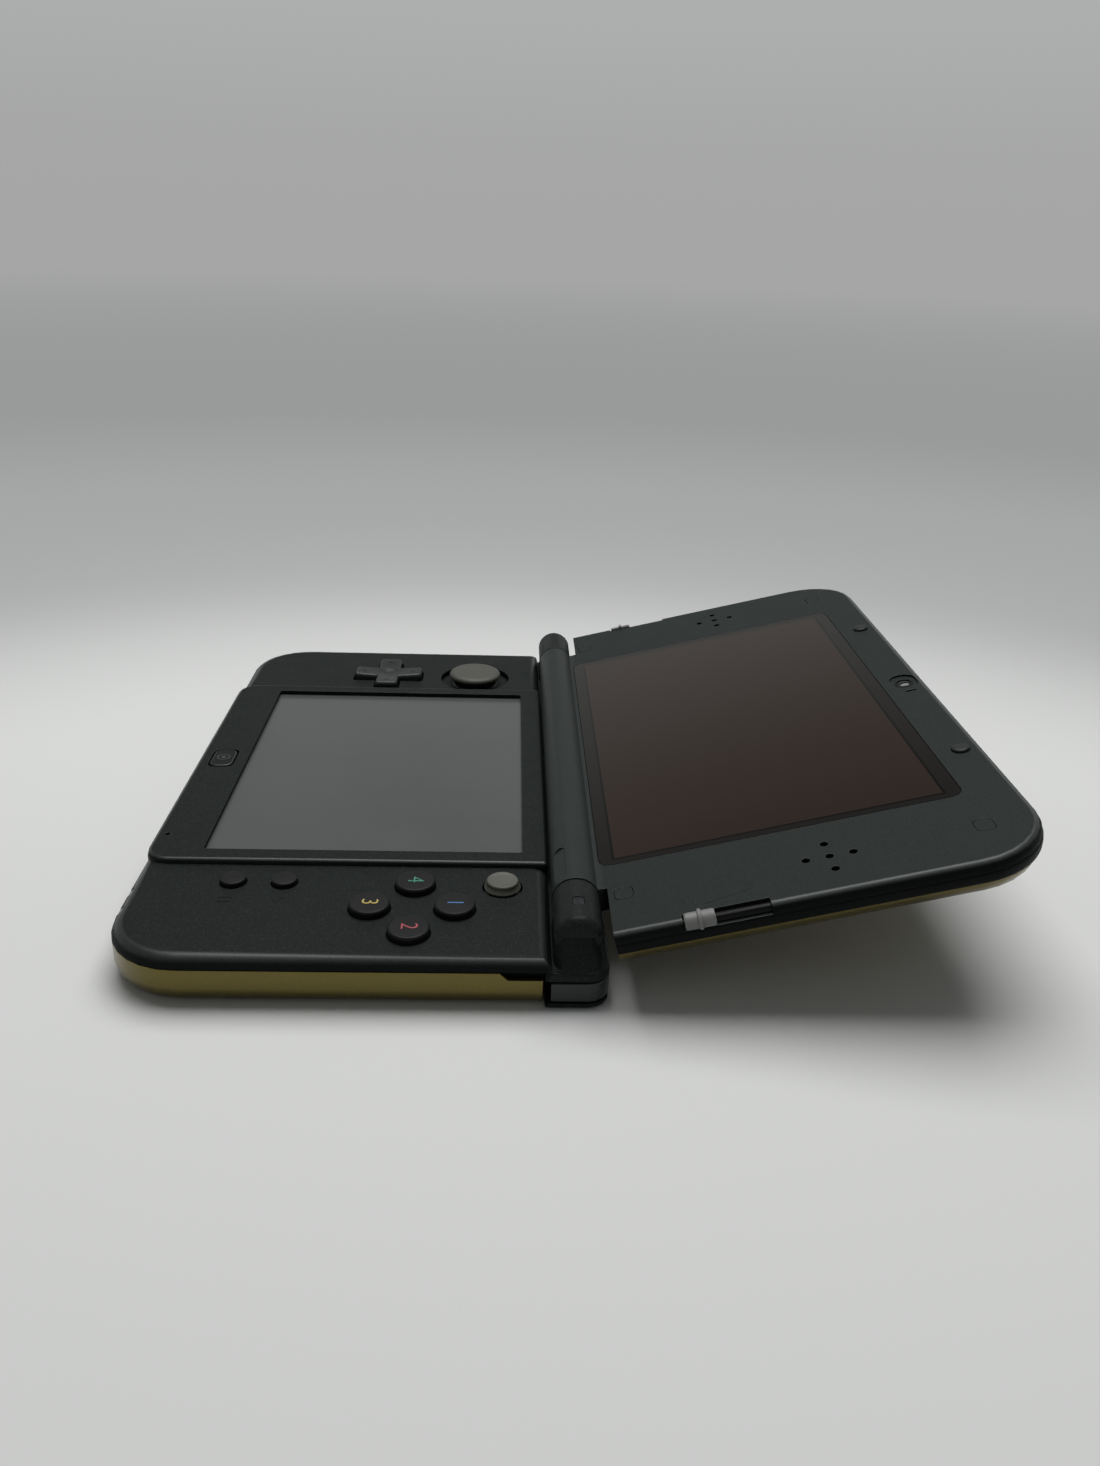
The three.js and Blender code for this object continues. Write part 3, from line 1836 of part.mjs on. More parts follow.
function lidBezel() {
  const plate = cut(bezelForm(0), box(beforeLidEdge), bezelHollow());
  const glassRecess = slab({
    ...glassBounds,
    z: [faceLevel - glassThickness - slipGap / 2, faceLevel + overrun],
    radii: alike(glassCornerRadius),
    inset: -seatGap,
  });
  const opening = box({ ...screenOpening, z: [bezelUnderside - overrun, faceLevel + overrun] });
  return cut(
    joined(plate, barrel()),
    barrelBores(),
    barrelDent(),
    glassRecess,
    opening,
    sides.map(speakerHoles).flat(),
    innerCameraCuts(),
    sides.map(bumperRecess),
    plugPlaces.map((place) => screwPlug(place, slipGap)),
    sides.map(sliderSlot),
  );
}

function lidCoverForm(inset) {
  return slab({
    x: [-right, right],
    y: [lidEdgeFromAxis - cornerRadius, lidEdge],
    z: [lidOuterLevel + inset, lidCoverTop + (inset > 0 ? overrun : 0)],
    radii: backCorners(cornerRadius),
    inset,
    underRound: lidCoverRadius - inset,
    steps: wideEdgeSteps,
  });
}

const outerCameraY = lidEdge - outerCameraFromEdge;

function outerLens(side, grown) {
  return rod({
    at: [side * outerCameraFromMiddle, outerCameraY],
    span: [lidOuterLevel - (grown > 0 ? overrun : -slipGap), lidOuterLevel + outerLensRecess],
    radius: outerLensRadius + grown,
  }).translate([0, 0, grown > 0 ? 0 : -slipGap]);
}

function lidOuterCover() {
  const hollow = cut(
    lidCoverForm(lidCoverWall),
    box({ ...beforeLidEdge, y: [-depth, lidEdgeFromAxis + lidCoverWall] }),
  );
  return cut(
    lidCoverForm(0),
    box(beforeLidEdge),
    hollow,
    sides.map((side) => outerLens(side, seatGap)),
  );
}

function lidGlass() {
  return slab({
    ...glassBounds,
    z: [faceLevel - glassThickness, faceLevel - slipGap / 2],
    radii: alike(glassCornerRadius),
  });
}

function upperModule() {
  return box({
    x: [-glassSide - upperModuleMargin, glassSide + upperModuleMargin],
    y: [glassFromAxis + upperModuleHingeStep, glassEnd - overrun],
    z: [moduleLevel - upperModuleThickness, moduleLevel],
  });
}

function speaker(side) {
  const middle = side * (right - speakerFromSide);
  return slab({
    x: around(middle, speakerWidth),
    y: around(speakerAlong, speakerLength),
    z: [moduleLevel - speakerThickness, moduleLevel],
    radii: alike(overrun),
  });
}

function cameraModule() {
  const end = lidEdge - cameraModuleFromEdge;
  return box({
    x: around(0, cameraModuleWidth),
    y: [end - cameraModuleLength, end],
    z: [moduleLevel - cameraModuleThickness, moduleLevel],
  });
}

function innerLens() {
  return turned({
    at: [0, innerCameraY],
    profile: [
      [0, plateLevel + slipGap],
      [cameraHoleRadius - seatGap, plateLevel + slipGap],
      ...roundedEnd({
        radius: cameraHoleRadius - seatGap,
        end: faceLevel - runningGap,
        round: runningGap,
      }),
      [0, faceLevel - runningGap],
    ],
    sides: holeSides,
  });
}

function bumper(side) {
  return turned({
    at: [side * bumperFromMiddle, bumperY],
    profile: [
      [0, faceLevel - bumperSeat + slipGap],
      [bumperRadius, faceLevel - bumperSeat + slipGap],
      ...roundedEnd({ radius: bumperRadius, end: faceLevel + bumperRise, round: bumperRise }),
      [0, faceLevel + bumperRise],
    ],
    sides: holeSides,
  });
}

function baseGroup() {
  const group = new THREE.Group();
  group.add(
    piece("base_top_housing", baseTopHousing(), charcoal()),
    piece("base_lower_housing", baseLowerHousing(), charcoal()),
    piece("rear_cover", rearCover(), gold()),
    piece("touch_panel", touchPanel(), plastic("#5d6062", 0.2)),
    piece("lower_lcd_module", lowerModule(), steel()),
    piece("main_board", mainBoard(), plastic("#1f4a33", 0.5)),
    piece("battery", battery(), plastic("#3a3d40", 0.6)),
    piece("button_membrane", buttonMembrane(), plastic("#8a8c88", 0.8)),
    piece("circle_pad_housing", circlePadHousing(), black()),
    piece("game_card_slot", gameCardSlot(), black()),
    piece("headphone_socket", headphoneSocket(), black()),
    piece("charging_socket", chargingSocket(), steel()),
    piece("infrared_window", infraredWindow(), black()),
    piece("status_light_guide", statusLightGuide(), plastic("#c9ccd0", 0.3)),
    piece("hinge_light_guide", hingeLight(0), plastic("#3b3f42", 0.3)),
    piece("hinge_cartridge", hingeTube(), steel()),
    piece("hinge_bush", hingeTube().mirror([1, 0, 0]), steel()),
  );
  screwPlaces.forEach((place, i) => {
    group.add(piece(`cover_screw_${sideNames[sides[i]]}`, coverScrew(place), steel()));
  });
  return group;
}

function controlGroup() {
  const group = new THREE.Group();
  const pad = [circlePad.x, circlePad.y, 0];
  const cross = [dpadPlace.x, dpadPlace.y, 0];
  const nub = [stick.x, stick.y, 0];
  group.add(
    piece("circle_pad_carriage", circlePadCarriage(), black(), pad),
    piece("circle_pad_cap", circlePadCap(), softGrey(), pad),
    piece("dpad_pivot", dpadPivot(), black(), cross),
    piece("dpad", dpad(), charcoal(), cross),
    piece("c_stick_post", stickPost(), black(), nub),
    piece("c_stick_cap", stickCap(), softGrey(), nub),
    piece("home_button", homeButton(), charcoal(), [0, homeY, panelTop]),
    piece("power_button", powerButton(), charcoal(), [powerX, front, powerZ]),
    piece("stylus", stylus(), charcoal(), [stylusX, front - stylusProud, stylusZ]),
  );
  faceButtonPlaces.forEach(({ name, x, y }) => {
    group.add(piece(name, faceButton(), charcoal(), [x, y, controlFaceHeight]));
  });
  smallButtonPlaces.forEach(({ name, x, y }) => {
    group.add(piece(name, smallButton(), charcoal(), [x, y, controlFaceHeight]));
  });
  sides.forEach((side) => {
    const name = sideNames[side];
    const triggerPlace = [side * (triggerInner + triggerWidth / 2), rear, 0];
    group.add(
      piece(`shoulder_${name}`, shoulderButton(side), slate(), [side * pivotX, pivotY, 0]),
      piece(`trigger_${name}`, trigger(), slate(), triggerPlace),
    );
  });
  return group;
}

function lidGroup() {
  const group = new THREE.Group();
  group.add(
    piece("lid_bezel", lidBezel(), charcoal()),
    piece("lid_outer_cover", lidOuterCover(), gold()),
    piece("lid_glass", lidGlass(), plastic("#1c1a1a", 0.12)),
    piece("lid_lcd_module", upperModule(), steel()),
    piece("camera_module", cameraModule(), black()),
    piece("inner_camera_lens", innerLens(), black()),
    piece("hinge_shaft", hingeShaft(1), steel()),
    piece("hinge_pin", hingePin(), steel()),
    piece("depth_slider", sliderKnob(1), plastic("#a5a5a3", 0.45)),
    piece("volume_slider", sliderKnob(-1), plastic("#a5a5a3", 0.45)),
  );
  plugPlaces.forEach((place) => group.add(piece(place.name, screwPlug(place, 0), charcoal())));
  sides.forEach((side) => {
    const name = sideNames[side];
    group.add(
      piece(`lid_speaker_${name}`, speaker(side), black()),
      piece(`lid_bumper_${name}`, bumper(side), slate()),
      piece(`outer_camera_lens_${name}`, outerLens(side, 0), black()),
    );
  });
  group.position.set(0, hingeY, hingeHeight);
  group.rotation.x = THREE.MathUtils.degToRad(lidTilt);
  return group;
}

const handheldConsole = new THREE.Group();
handheldConsole.add(baseGroup(), controlGroup(), lidGroup());

export default handheldConsole;
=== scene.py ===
# %% [markdown]
# # A clamshell handheld game console
# The object lies open on a table: a flat base with pads, buttons and a touch screen, and a lid
# with a wide screen that leans back on a thick hinge barrel. The CAD model already has every
# shell, joint and gap at its true size, so it is loaded here as a fixed frame. This lesson gives
# it the looks: soft edges, paint, rubber and glass, finely shaped controls, and a small studio.

# %% Load the frame
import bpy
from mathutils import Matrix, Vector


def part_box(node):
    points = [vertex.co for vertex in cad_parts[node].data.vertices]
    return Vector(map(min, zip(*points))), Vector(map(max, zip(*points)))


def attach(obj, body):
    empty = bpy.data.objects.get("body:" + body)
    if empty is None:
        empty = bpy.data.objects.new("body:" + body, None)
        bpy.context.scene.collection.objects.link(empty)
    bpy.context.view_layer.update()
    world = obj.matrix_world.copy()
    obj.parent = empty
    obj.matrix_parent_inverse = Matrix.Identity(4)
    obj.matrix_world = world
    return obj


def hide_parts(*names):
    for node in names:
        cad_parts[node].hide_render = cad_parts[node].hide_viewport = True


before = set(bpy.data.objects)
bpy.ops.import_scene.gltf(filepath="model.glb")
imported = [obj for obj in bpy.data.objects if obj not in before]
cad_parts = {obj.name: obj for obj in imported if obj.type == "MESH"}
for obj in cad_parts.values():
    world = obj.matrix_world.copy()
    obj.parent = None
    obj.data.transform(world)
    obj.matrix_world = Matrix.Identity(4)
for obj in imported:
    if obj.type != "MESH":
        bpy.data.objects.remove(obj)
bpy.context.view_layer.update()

# %% Tools and units
import math

import bpy
import numpy as np
from mathutils import Matrix, Vector

MM = 0.001
TAU = 2 * math.pi
scene = bpy.context.scene

# %% [markdown]
# ## The camera
# The photograph was taken from the player's right, a hand's breadth above the table. A camera is
# a place and three directions. Azimuth and elevation give the direction to look from, roll turns
# the picture, and the focal length in pixels becomes a lens in millimetres once it is divided by
# the height of the picture.

# %% Camera
PICTURE_HEIGHT = 1466
SENSOR = 36.0
focal_pixels = 1152.84
camera_place = np.array([252.19, 27.0, 132.97]) * MM
azimuth, elevation, roll = np.radians([87.64, 24.15, 1.97])

back = np.array([
    math.sin(azimuth) * math.cos(elevation),
    -math.cos(azimuth) * math.cos(elevation),
    math.sin(elevation),
])
level = np.cross([0, 0, 1], back)
level /= np.linalg.norm(level)
upright = np.cross(back, level)
right = math.cos(roll) * level + math.sin(roll) * upright
up = -math.sin(roll) * level + math.cos(roll) * upright

camera_data = bpy.data.cameras.new("camera")
camera_data.sensor_width = SENSOR
camera_data.lens = focal_pixels / PICTURE_HEIGHT * SENSOR
camera_data.clip_start = 0.005
camera = bpy.data.objects.new("camera", camera_data)
stand = np.eye(4)
stand[:3, 0], stand[:3, 1], stand[:3, 2], stand[:3, 3] = right, up, back, camera_place
camera.matrix_world = Matrix(stand.tolist())
scene.collection.objects.link(camera)
scene.camera = camera
print("lens", round(camera_data.lens, 2), "mm")

# %% [markdown]
# ## Helpers for colours and nodes
# A colour picked from a picture is an sRGB hex value, and Blender works with linear light, so one
# function converts it. Materials are graphs of nodes. One function adds a node, sets its
# properties and fills or links its inputs, which keeps each material as short as a recipe.

# %% Colour and node helpers
def linear(hex_colour):
    """sRGB hex as linear RGBA: v / 12.92 up to 0.04045, else ((v + 0.055) / 1.055)^2.4."""
    value = np.array([int(hex_colour[i:i + 2], 16) for i in (1, 3, 5)]) / 255
    light = np.where(value <= 0.04045, value / 12.92, ((value + 0.055) / 1.055) ** 2.4)
    return (*light.tolist(), 1.0)


def add_node(tree, kind, settings=None, inputs=None):
    """Adds a node and sets its properties. An input takes a value, a socket or another node."""
    node = tree.nodes.new(kind)
    for name, value in (settings or {}).items():
        setattr(node, name, value)
    for key, value in (inputs or {}).items():
        if isinstance(value, bpy.types.Node):
            value = next(output for output in value.outputs if output.enabled)
        if isinstance(value, bpy.types.NodeSocket):
            tree.links.new(value, node.inputs[key])
        else:
            node.inputs[key].default_value = value
    return node


# Settings that many nodes below share
TIMES = {"operation": "MULTIPLY"}
HIGHER = {"operation": "MAXIMUM"}
SIZE_OF = {"operation": "ABSOLUTE"}
SOFT = {"interpolation_type": "SMOOTHSTEP"}
COLOURS = {"data_type": "RGBA"}
# Inputs of a MapRange: the part of a cloud pattern's 0 to 1 that is used
CLOUD_SPAN = {1: 0.3, 2: 0.7}


def new_finish(name, colour, roughness, **settings):
    """A material with one Principled shader: returns the material, its tree and the shader."""
    material = bpy.data.materials.new(name)
    material.use_nodes = True
    tree = material.node_tree
    shader = tree.nodes["Principled BSDF"]
    shader.inputs["Base Color"].default_value = linear(colour)
    shader.inputs["Roughness"].default_value = roughness
    for key, value in settings.items():
        shader.inputs[key.replace("_", " ")].default_value = value
    return material, tree, shader


# %% [markdown]
# ## The studio
# The photograph has one pale sheet that runs from the table up behind the object, so the far part
# is a little darker and there is no hard horizon. A wall would hide the object from behind, so
# the floor here is one wide disc. It gets darker with the distance from the table's near end,
# and far out it has the grey of the world, so the two join without a line. Above the sheet the
# room is darker, and the glossy parts mirror that. One large soft lamp hangs overhead, a weak one
# fills in from the player's right, and the world gives the rest.

# %% Floor finish
FLOOR_RADIUS = 6.0
TABLE_END = Vector((252, 27, 0)) * MM
LIT_CARD, LIT_CARD_FAR = "#E2E3E1", "#B8B9B8"
SHEET_NEAR, SHEET_FAR = "#A8AAA9", "#999B9A"
WALL_LOW, WALL_HIGH = "#A5A6A5", "#AFB1B0"
ROOM = "#626362"
# Distances from the table's end, in metres, over which one tone gives way to the next
CARD_DIMS, CARD_TO_SHEET = (0.3, 0.47), (0.37, 0.56)
SHEET_DIMS, SHEET_TO_WALL = (0.5, 0.9), (0.9, 3.0)


def floor_finish():
    """Matt card: painted shade away from the table's end, and a painted glow far out."""
    material, tree, shader = new_finish("pale_card", LIT_CARD, 0.9, Specular_IOR_Level=0.1)
    spot = add_node(tree, "ShaderNodeTexCoord").outputs["Object"]
    reach = add_node(
        tree, "ShaderNodeVectorMath", {"operation": "DISTANCE"}, {0: spot, 1: tuple(TABLE_END)}
    ).outputs["Value"]
    dims, beyond, sheet_dims, joins = [
        add_node(tree, "ShaderNodeMapRange", SOFT, {0: reach, 1: start, 2: end})
        for start, end in (CARD_DIMS, CARD_TO_SHEET, SHEET_DIMS, SHEET_TO_WALL)
    ]
    # The card's colour fades from LIT_CARD to LIT_CARD_FAR: a painted pool of light at the table's
    # end, painted shade further out
    card = add_node(
        tree, "ShaderNodeMix", COLOURS, {0: dims, 6: linear(LIT_CARD), 7: linear(LIT_CARD_FAR)}
    )
    sheet = add_node(
        tree,
        "ShaderNodeMix",
        COLOURS,
        {0: sheet_dims, 6: linear(SHEET_NEAR), 7: linear(SHEET_FAR)},
    )
    far = add_node(tree, "ShaderNodeMix", COLOURS, {0: joins, 6: sheet, 7: linear(WALL_LOW)})
    # Far out the floor glows in these greys, which is painted light and no lamp
    glow = add_node(tree, "ShaderNodeEmission", None, {"Color": far})
    tree.links.new(card.outputs[2], shader.inputs["Base Color"])
    mixed = add_node(tree, "ShaderNodeMixShader", None, {0: beyond, 1: shader, 2: glow})
    tree.links.new(mixed.outputs[0], tree.nodes["Material Output"].inputs["Surface"])
    return material


# %% Floor
INNER_RINGS = (0.3, 1.0)


def floor_disc():
    """A flat disc as rings: x = r cos t, y = r sin t, with r growing from the middle outwards."""
    turn = np.linspace(0, TAU, 96, endpoint=False)
    reach = np.array([*INNER_RINGS, FLOOR_RADIUS])[:, None]
    x, y = reach * np.cos(turn), reach * np.sin(turn)
    points = np.stack([x, y, np.zeros_like(x)], axis=-1).reshape(-1, 3)
    count = len(turn)
    j = np.arange(count)
    quad = np.stack([j, j + count, (j + 1) % count + count, (j + 1) % count], axis=-1)
    faces = [j.tolist()] + quad.tolist() + (quad + count).tolist()
    mesh = bpy.data.meshes.new("floor")
    mesh.from_pydata(points.tolist(), [], faces)
    return mesh


floor = bpy.data.objects.new("floor", floor_disc())
floor.data.materials.append(floor_finish())
scene.collection.objects.link(floor)
print("floor", FLOOR_RADIUS * 2, "m across")

# %% World and lamps
AMBIENT, AMBIENT_TINT = 0.14, "#F4F7FA"
# Heights are those of a direction: 0 at the horizon and 1 overhead
SHEET_TOP, ROOM_FROM, ROOM_FULL = 0.2, 0.34, 0.6
world = bpy.data.worlds.new("studio")
world.use_nodes = True
scene.world = world
world_tree = world.node_tree
ambient = world_tree.nodes["Background"]
ambient.inputs["Color"].default_value = linear(AMBIENT_TINT)
ambient.inputs["Strength"].default_value = AMBIENT
way = add_node(world_tree, "ShaderNodeTexCoord").outputs["Generated"]
height = add_node(world_tree, "ShaderNodeSeparateXYZ", None, {0: way}).outputs[2]
climb = add_node(world_tree, "ShaderNodeMapRange", SOFT, {0: height, 1: 0.0, 2: SHEET_TOP})
wall_tone = add_node(
    world_tree, "ShaderNodeMix", COLOURS, {0: climb, 6: linear(WALL_LOW), 7: linear(WALL_HIGH)}
)
above = add_node(
    world_tree, "ShaderNodeMapRange", SOFT, {0: height, 1: ROOM_FROM, 2: ROOM_FULL}
)
room_tone = add_node(
    world_tree,
    "ShaderNodeMix",
    COLOURS,
    {0: above, 6: wall_tone.outputs[2], 7: linear(ROOM)},
)
wall = add_node(world_tree, "ShaderNodeBackground", None, {"Color": room_tone.outputs[2]})
ray = add_node(world_tree, "ShaderNodeLightPath")
seen = add_node(
    world_tree,
    "ShaderNodeMath",
    HIGHER,
    {0: ray.outputs["Is Camera Ray"], 1: ray.outputs["Is Glossy Ray"]},
)
seen_or_through = add_node(
    world_tree, "ShaderNodeMath", HIGHER, {0: seen, 1: ray.outputs["Is Transmission Ray"]}
)
chosen = add_node(
    world_tree, "ShaderNodeMixShader", None, {0: seen_or_through, 1: ambient, 2: wall}
)
world_tree.links.new(chosen.outputs[0], world_tree.nodes["World Output"].inputs["Surface"])


def soft_lamp(name, location, target, size, power):
    """A rectangular area lamp at location that faces target."""
    data = bpy.data.lights.new(name, "AREA")
    data.shape = "RECTANGLE"
    data.size, data.size_y = size
    data.energy = power
    lamp = bpy.data.objects.new(name, data)
    lamp.location = location
    lamp.rotation_euler = (Vector(location) - Vector(target)).to_track_quat("Z", "Y").to_euler()
    scene.collection.objects.link(lamp)


# Each lamp: where it hangs, what it faces and its size, in metres, and its power in watts
LAMPS = {
    "overhead": ((-0.22, 0.05, 0.75), (0.02, 0.03, 0), (0.7, 0.6), 6.0),
    "fill": ((0.7, -0.5, 0.5), (0, 0.03, 0), (0.5, 0.5), 0.12),
}
for lamp_name, lamp_settings in LAMPS.items():
    soft_lamp(lamp_name, *lamp_settings)
scene.view_settings.view_transform = "Standard"
print("ambient", AMBIENT, "lamps", len(bpy.data.lights))

# %% [markdown]
# ## Finishes of the shells
# The charcoal shell is moulded polycarbonate under a thin matt paint with fine metal flakes. The
# eye sees a dark, slightly green grey with a faint sparkle on the flat faces, while the rounded
# edges shine, because fingers and the case polish them. Real flakes are about 0.05 mm wide, and
# are drawn at 0.22 mm so that they still show. The gloss of the edges follows how far the
# surface's own normal leans away from the flat face, so it doesn't depend on the camera. The
# sides get a darker colour, which is painted shade, and the hinge's barrel and knuckles have a
# weak, even gloss all round.

# %% Parts of a finish
def flakes(tree, width, share):
    """0 to 1: which cells of a fine Voronoi pattern are bright flakes. width is in metres."""
    spot = add_node(tree, "ShaderNodeTexCoord").outputs["Object"]
    cells = add_node(tree, "ShaderNodeTexVoronoi", None, {"Vector": spot, "Scale": 1 / width})
    parts = add_node(tree, "ShaderNodeSeparateColor", None, {0: cells.outputs["Color"]})
    return add_node(tree, "ShaderNodeMapRange", SOFT, {0: parts, 1: 1 - share, 2: 1.0})


def cloud(tree, grain, detail=3.0):
    """0 to 1: a soft noise whose lumps are grain metres wide."""
    spot = add_node(tree, "ShaderNodeTexCoord").outputs["Object"]
    return add_node(
        tree,
        "ShaderNodeTexNoise",
        None,
        {"Vector": spot, "Scale": 1 / grain, "Detail": detail, "Roughness": 0.6},
    )


def fine_bump(tree, shader, grain, height):
    """A noise bump. grain is the size of its bumps and height how tall they are, in metres."""
    lumps = cloud(tree, grain, 2.0)
    bump = add_node(
        tree, "ShaderNodeBump", None, {"Strength": 1.0, "Distance": height, "Height": lumps}
    )
    tree.links.new(bump.outputs[0], shader.inputs["Normal"])


def flatness(tree, facing):
    """1 where the surface faces along facing or straight away from it, and 0 square to it."""
    normal = add_node(tree, "ShaderNodeTexCoord").outputs["Normal"]
    along = add_node(
        tree, "ShaderNodeVectorMath", {"operation": "DOT_PRODUCT"}, {0: normal, 1: facing}
    ).outputs["Value"]
    return add_node(tree, "ShaderNodeMath", SIZE_OF, {0: along})


# The round edge: its gloss is full from 20 to 36 degrees of lean, and gone again at 58
EDGE_FLAT = 0.998
EDGE_FULL, EDGE_FADES, EDGE_GONE = np.cos(np.radians([20, 36, 58])).tolist()


def leaning(tree, facing):
    """0 where the surface faces along facing or square to it, and 1 on the round edge between."""
    flat = flatness(tree, facing)
    starts = add_node(tree, "ShaderNodeMapRange", SOFT, {0: flat, 1: EDGE_FLAT, 2: EDGE_FULL})
    ends = add_node(tree, "ShaderNodeMapRange", SOFT, {0: flat, 1: EDGE_GONE, 2: EDGE_FADES})
    return add_node(tree, "ShaderNodeMath", TIMES, {0: starts, 1: ends})


# %% The hinge's place
LID_TILT = math.radians(14)
HINGE_Y, HINGE_Z = 40.75, 13.9
HINGE = Vector((0, HINGE_Y, HINGE_Z)) * MM
BARREL_REACH, BEYOND_BARREL = 4.9, 5.6
STEEP_FROM, STEEP_FULL = 0.85, 0.45


def near_hinge(tree):
    """1 on the hinge barrel and its knuckles, which are satin all round, and 0 elsewhere."""
    spot = add_node(tree, "ShaderNodeTexCoord").outputs["Object"]
    y = add_node(tree, "ShaderNodeSeparateXYZ", None, {0: spot}).outputs[1]
    across = add_node(tree, "ShaderNodeMath", {"operation": "SUBTRACT"}, {0: y, 1: HINGE.y})
    size = add_node(tree, "ShaderNodeMath", SIZE_OF, {0: across})
    return add_node(
        tree,
        "ShaderNodeMapRange",
        SOFT,
        {0: size, 1: BEYOND_BARREL * MM, 2: BARREL_REACH * MM},
    )


# The mask of the painted shade that darkens the paint's steep sides
def painted_side_shade(tree, facing):
    """0 on the flat face and on the hinge, and 1 where the surface stands square to facing."""
    flat = flatness(tree, facing)
    share = add_node(tree, "ShaderNodeMapRange", SOFT, {0: flat, 1: STEEP_FROM, 2: STEEP_FULL})
    elsewhere = add_node(
        tree, "ShaderNodeMath", {"operation": "SUBTRACT"}, {0: 1.0, 1: near_hinge(tree)}
    )
    return add_node(tree, "ShaderNodeMath", TIMES, {0: share, 1: elsewhere})


print("hinge axis at", tuple(round(value, 4) for value in HINGE))


# %% Charcoal paint
UP = (0.0, 0.0, 1.0)
LID_UP = (0.0, -math.sin(LID_TILT), math.cos(LID_TILT))
FLAKE, FLAKE_SHARE, FLAKE_STRENGTH = 0.22 * MM, 0.3, 0.34
EDGE_GLOSS, EDGE_ROUGHNESS, COAT_ROUGHNESS = 0.85, 0.38, 0.42


def charcoal_flake_paint(name, facing, dark, light, side, hinge_gloss):
    """Matt charcoal paint with metal flakes: a dull face, and a clear gloss on rounded edges."""
    material, tree, shader = new_finish(name, dark, 0.5, IOR=1.46, Specular_IOR_Level=0.08)
    lean = leaning(tree, facing)
    patches = cloud(tree, 9 * MM)
    spark = add_node(
        tree, "ShaderNodeMath", TIMES, {0: flakes(tree, FLAKE, FLAKE_SHARE), 1: FLAKE_STRENGTH}
    )
    plain = add_node(
        tree, "ShaderNodeMix", COLOURS, {0: patches, 6: linear(dark), 7: linear(light)}
    )
    paint = add_node(tree, "ShaderNodeMix", COLOURS, {0: spark, 6: plain, 7: linear("#3A413F")})
    # Where the surface turns steep, the paint gives way to the colour side, which is painted shade
    shaded_side_paint = add_node(
        tree,
        "ShaderNodeMix",
        COLOURS,
        {0: painted_side_shade(tree, facing), 6: paint.outputs[2], 7: linear(side)},
    )
    tree.links.new(shaded_side_paint.outputs[2], shader.inputs["Base Color"])
    dull = add_node(
        tree, "ShaderNodeMapRange", SOFT, {0: patches, **CLOUD_SPAN, 3: 0.46, 4: 0.56}
    )
    rough = add_node(tree, "ShaderNodeMix", None, {0: lean, 2: dull, 3: EDGE_ROUGHNESS})
    tree.links.new(rough.outputs[0], shader.inputs["Roughness"])
    edges = add_node(tree, "ShaderNodeMath", TIMES, {0: lean, 1: EDGE_GLOSS})
    coat = add_node(tree, "ShaderNodeMix", None, {0: near_hinge(tree), 2: edges, 3: hinge_gloss})
    tree.links.new(coat.outputs[0], shader.inputs["Coat Weight"])
    shader.inputs["Coat Roughness"].default_value = COAT_ROUGHNESS
    fine_bump(tree, shader, 0.35 * MM, 0.03 * MM)
    return material


# In each copy, side is the colour of the painted shade on the steep sides
base_charcoal = charcoal_flake_paint(
    "charcoal_flake_paint_base",
    facing=UP,
    dark="#191D1C",
    light="#1E2221",
    side="#121615",
    hinge_gloss=0.05,
)
# The lid has the same paint as the base: its lighter face and darker sides are painted light and
# shade
lid_charcoal = charcoal_flake_paint(
    "charcoal_flake_paint_lid",
    facing=LID_UP,
    dark="#252A29",
    light="#2B302F",
    side="#0A0C0C",
    hinge_gloss=0.16,
)
print("charcoal", base_charcoal.name, lid_charcoal.name)

# %% [markdown]
# The gold covers are the same plastic with a satin olive gold lacquer. It holds aluminium flakes,
# so it is part metal to the eye: it darkens quickly where it turns away from the lamp. Its
# flakes are fainter than the charcoal's and only show up close, drawn at 0.25 mm.

# %% Gold lacquer
GOLD_FLAKE, GOLD_SHARE, GOLD_STRENGTH = 0.25 * MM, 0.4, 0.1


def olive_gold_lacquer():
    """Satin lacquer with aluminium flakes, under a thin clear coat."""
    material, tree, shader = new_finish("olive_gold_lacquer", "#665B28", 0.32, Metallic=0.85)
    patches = cloud(tree, 12 * MM)
    spark = add_node(
        tree, "ShaderNodeMath", TIMES, {0: flakes(tree, GOLD_FLAKE, GOLD_SHARE), 1: GOLD_STRENGTH}
    )
    plain = add_node(
        tree, "ShaderNodeMix", COLOURS, {0: patches, 6: linear("#645926"), 7: linear("#685D2A")}
    )
    paint = add_node(tree, "ShaderNodeMix", COLOURS, {0: spark, 6: plain, 7: linear("#8C8052")})
    tree.links.new(paint.outputs[2], shader.inputs["Base Color"])
    dull = add_node(
        tree, "ShaderNodeMapRange", SOFT, {0: patches, **CLOUD_SPAN, 3: 0.31, 4: 0.35}
    )
    tree.links.new(dull.outputs[0], shader.inputs["Roughness"])
    shader.inputs["Coat Weight"].default_value = 0.3
    shader.inputs["Coat Roughness"].default_value = 0.18
    fine_bump(tree, shader, 0.4 * MM, 0.01 * MM)
    return material


gold = olive_gold_lacquer()
print("gold", gold.name)

# %% [markdown]
# ## Finishes of the screens
# The lower screen is a resistive touch panel: a thin plastic film over a grey display that is
# switched off. It is smooth but not glossy, so it shows a blurred grey. The upper screen has one
# glossy cover over the display, with a dark frame printed on its back. Switched off, the display
# looks dark brown, and the cover mirrors the room.

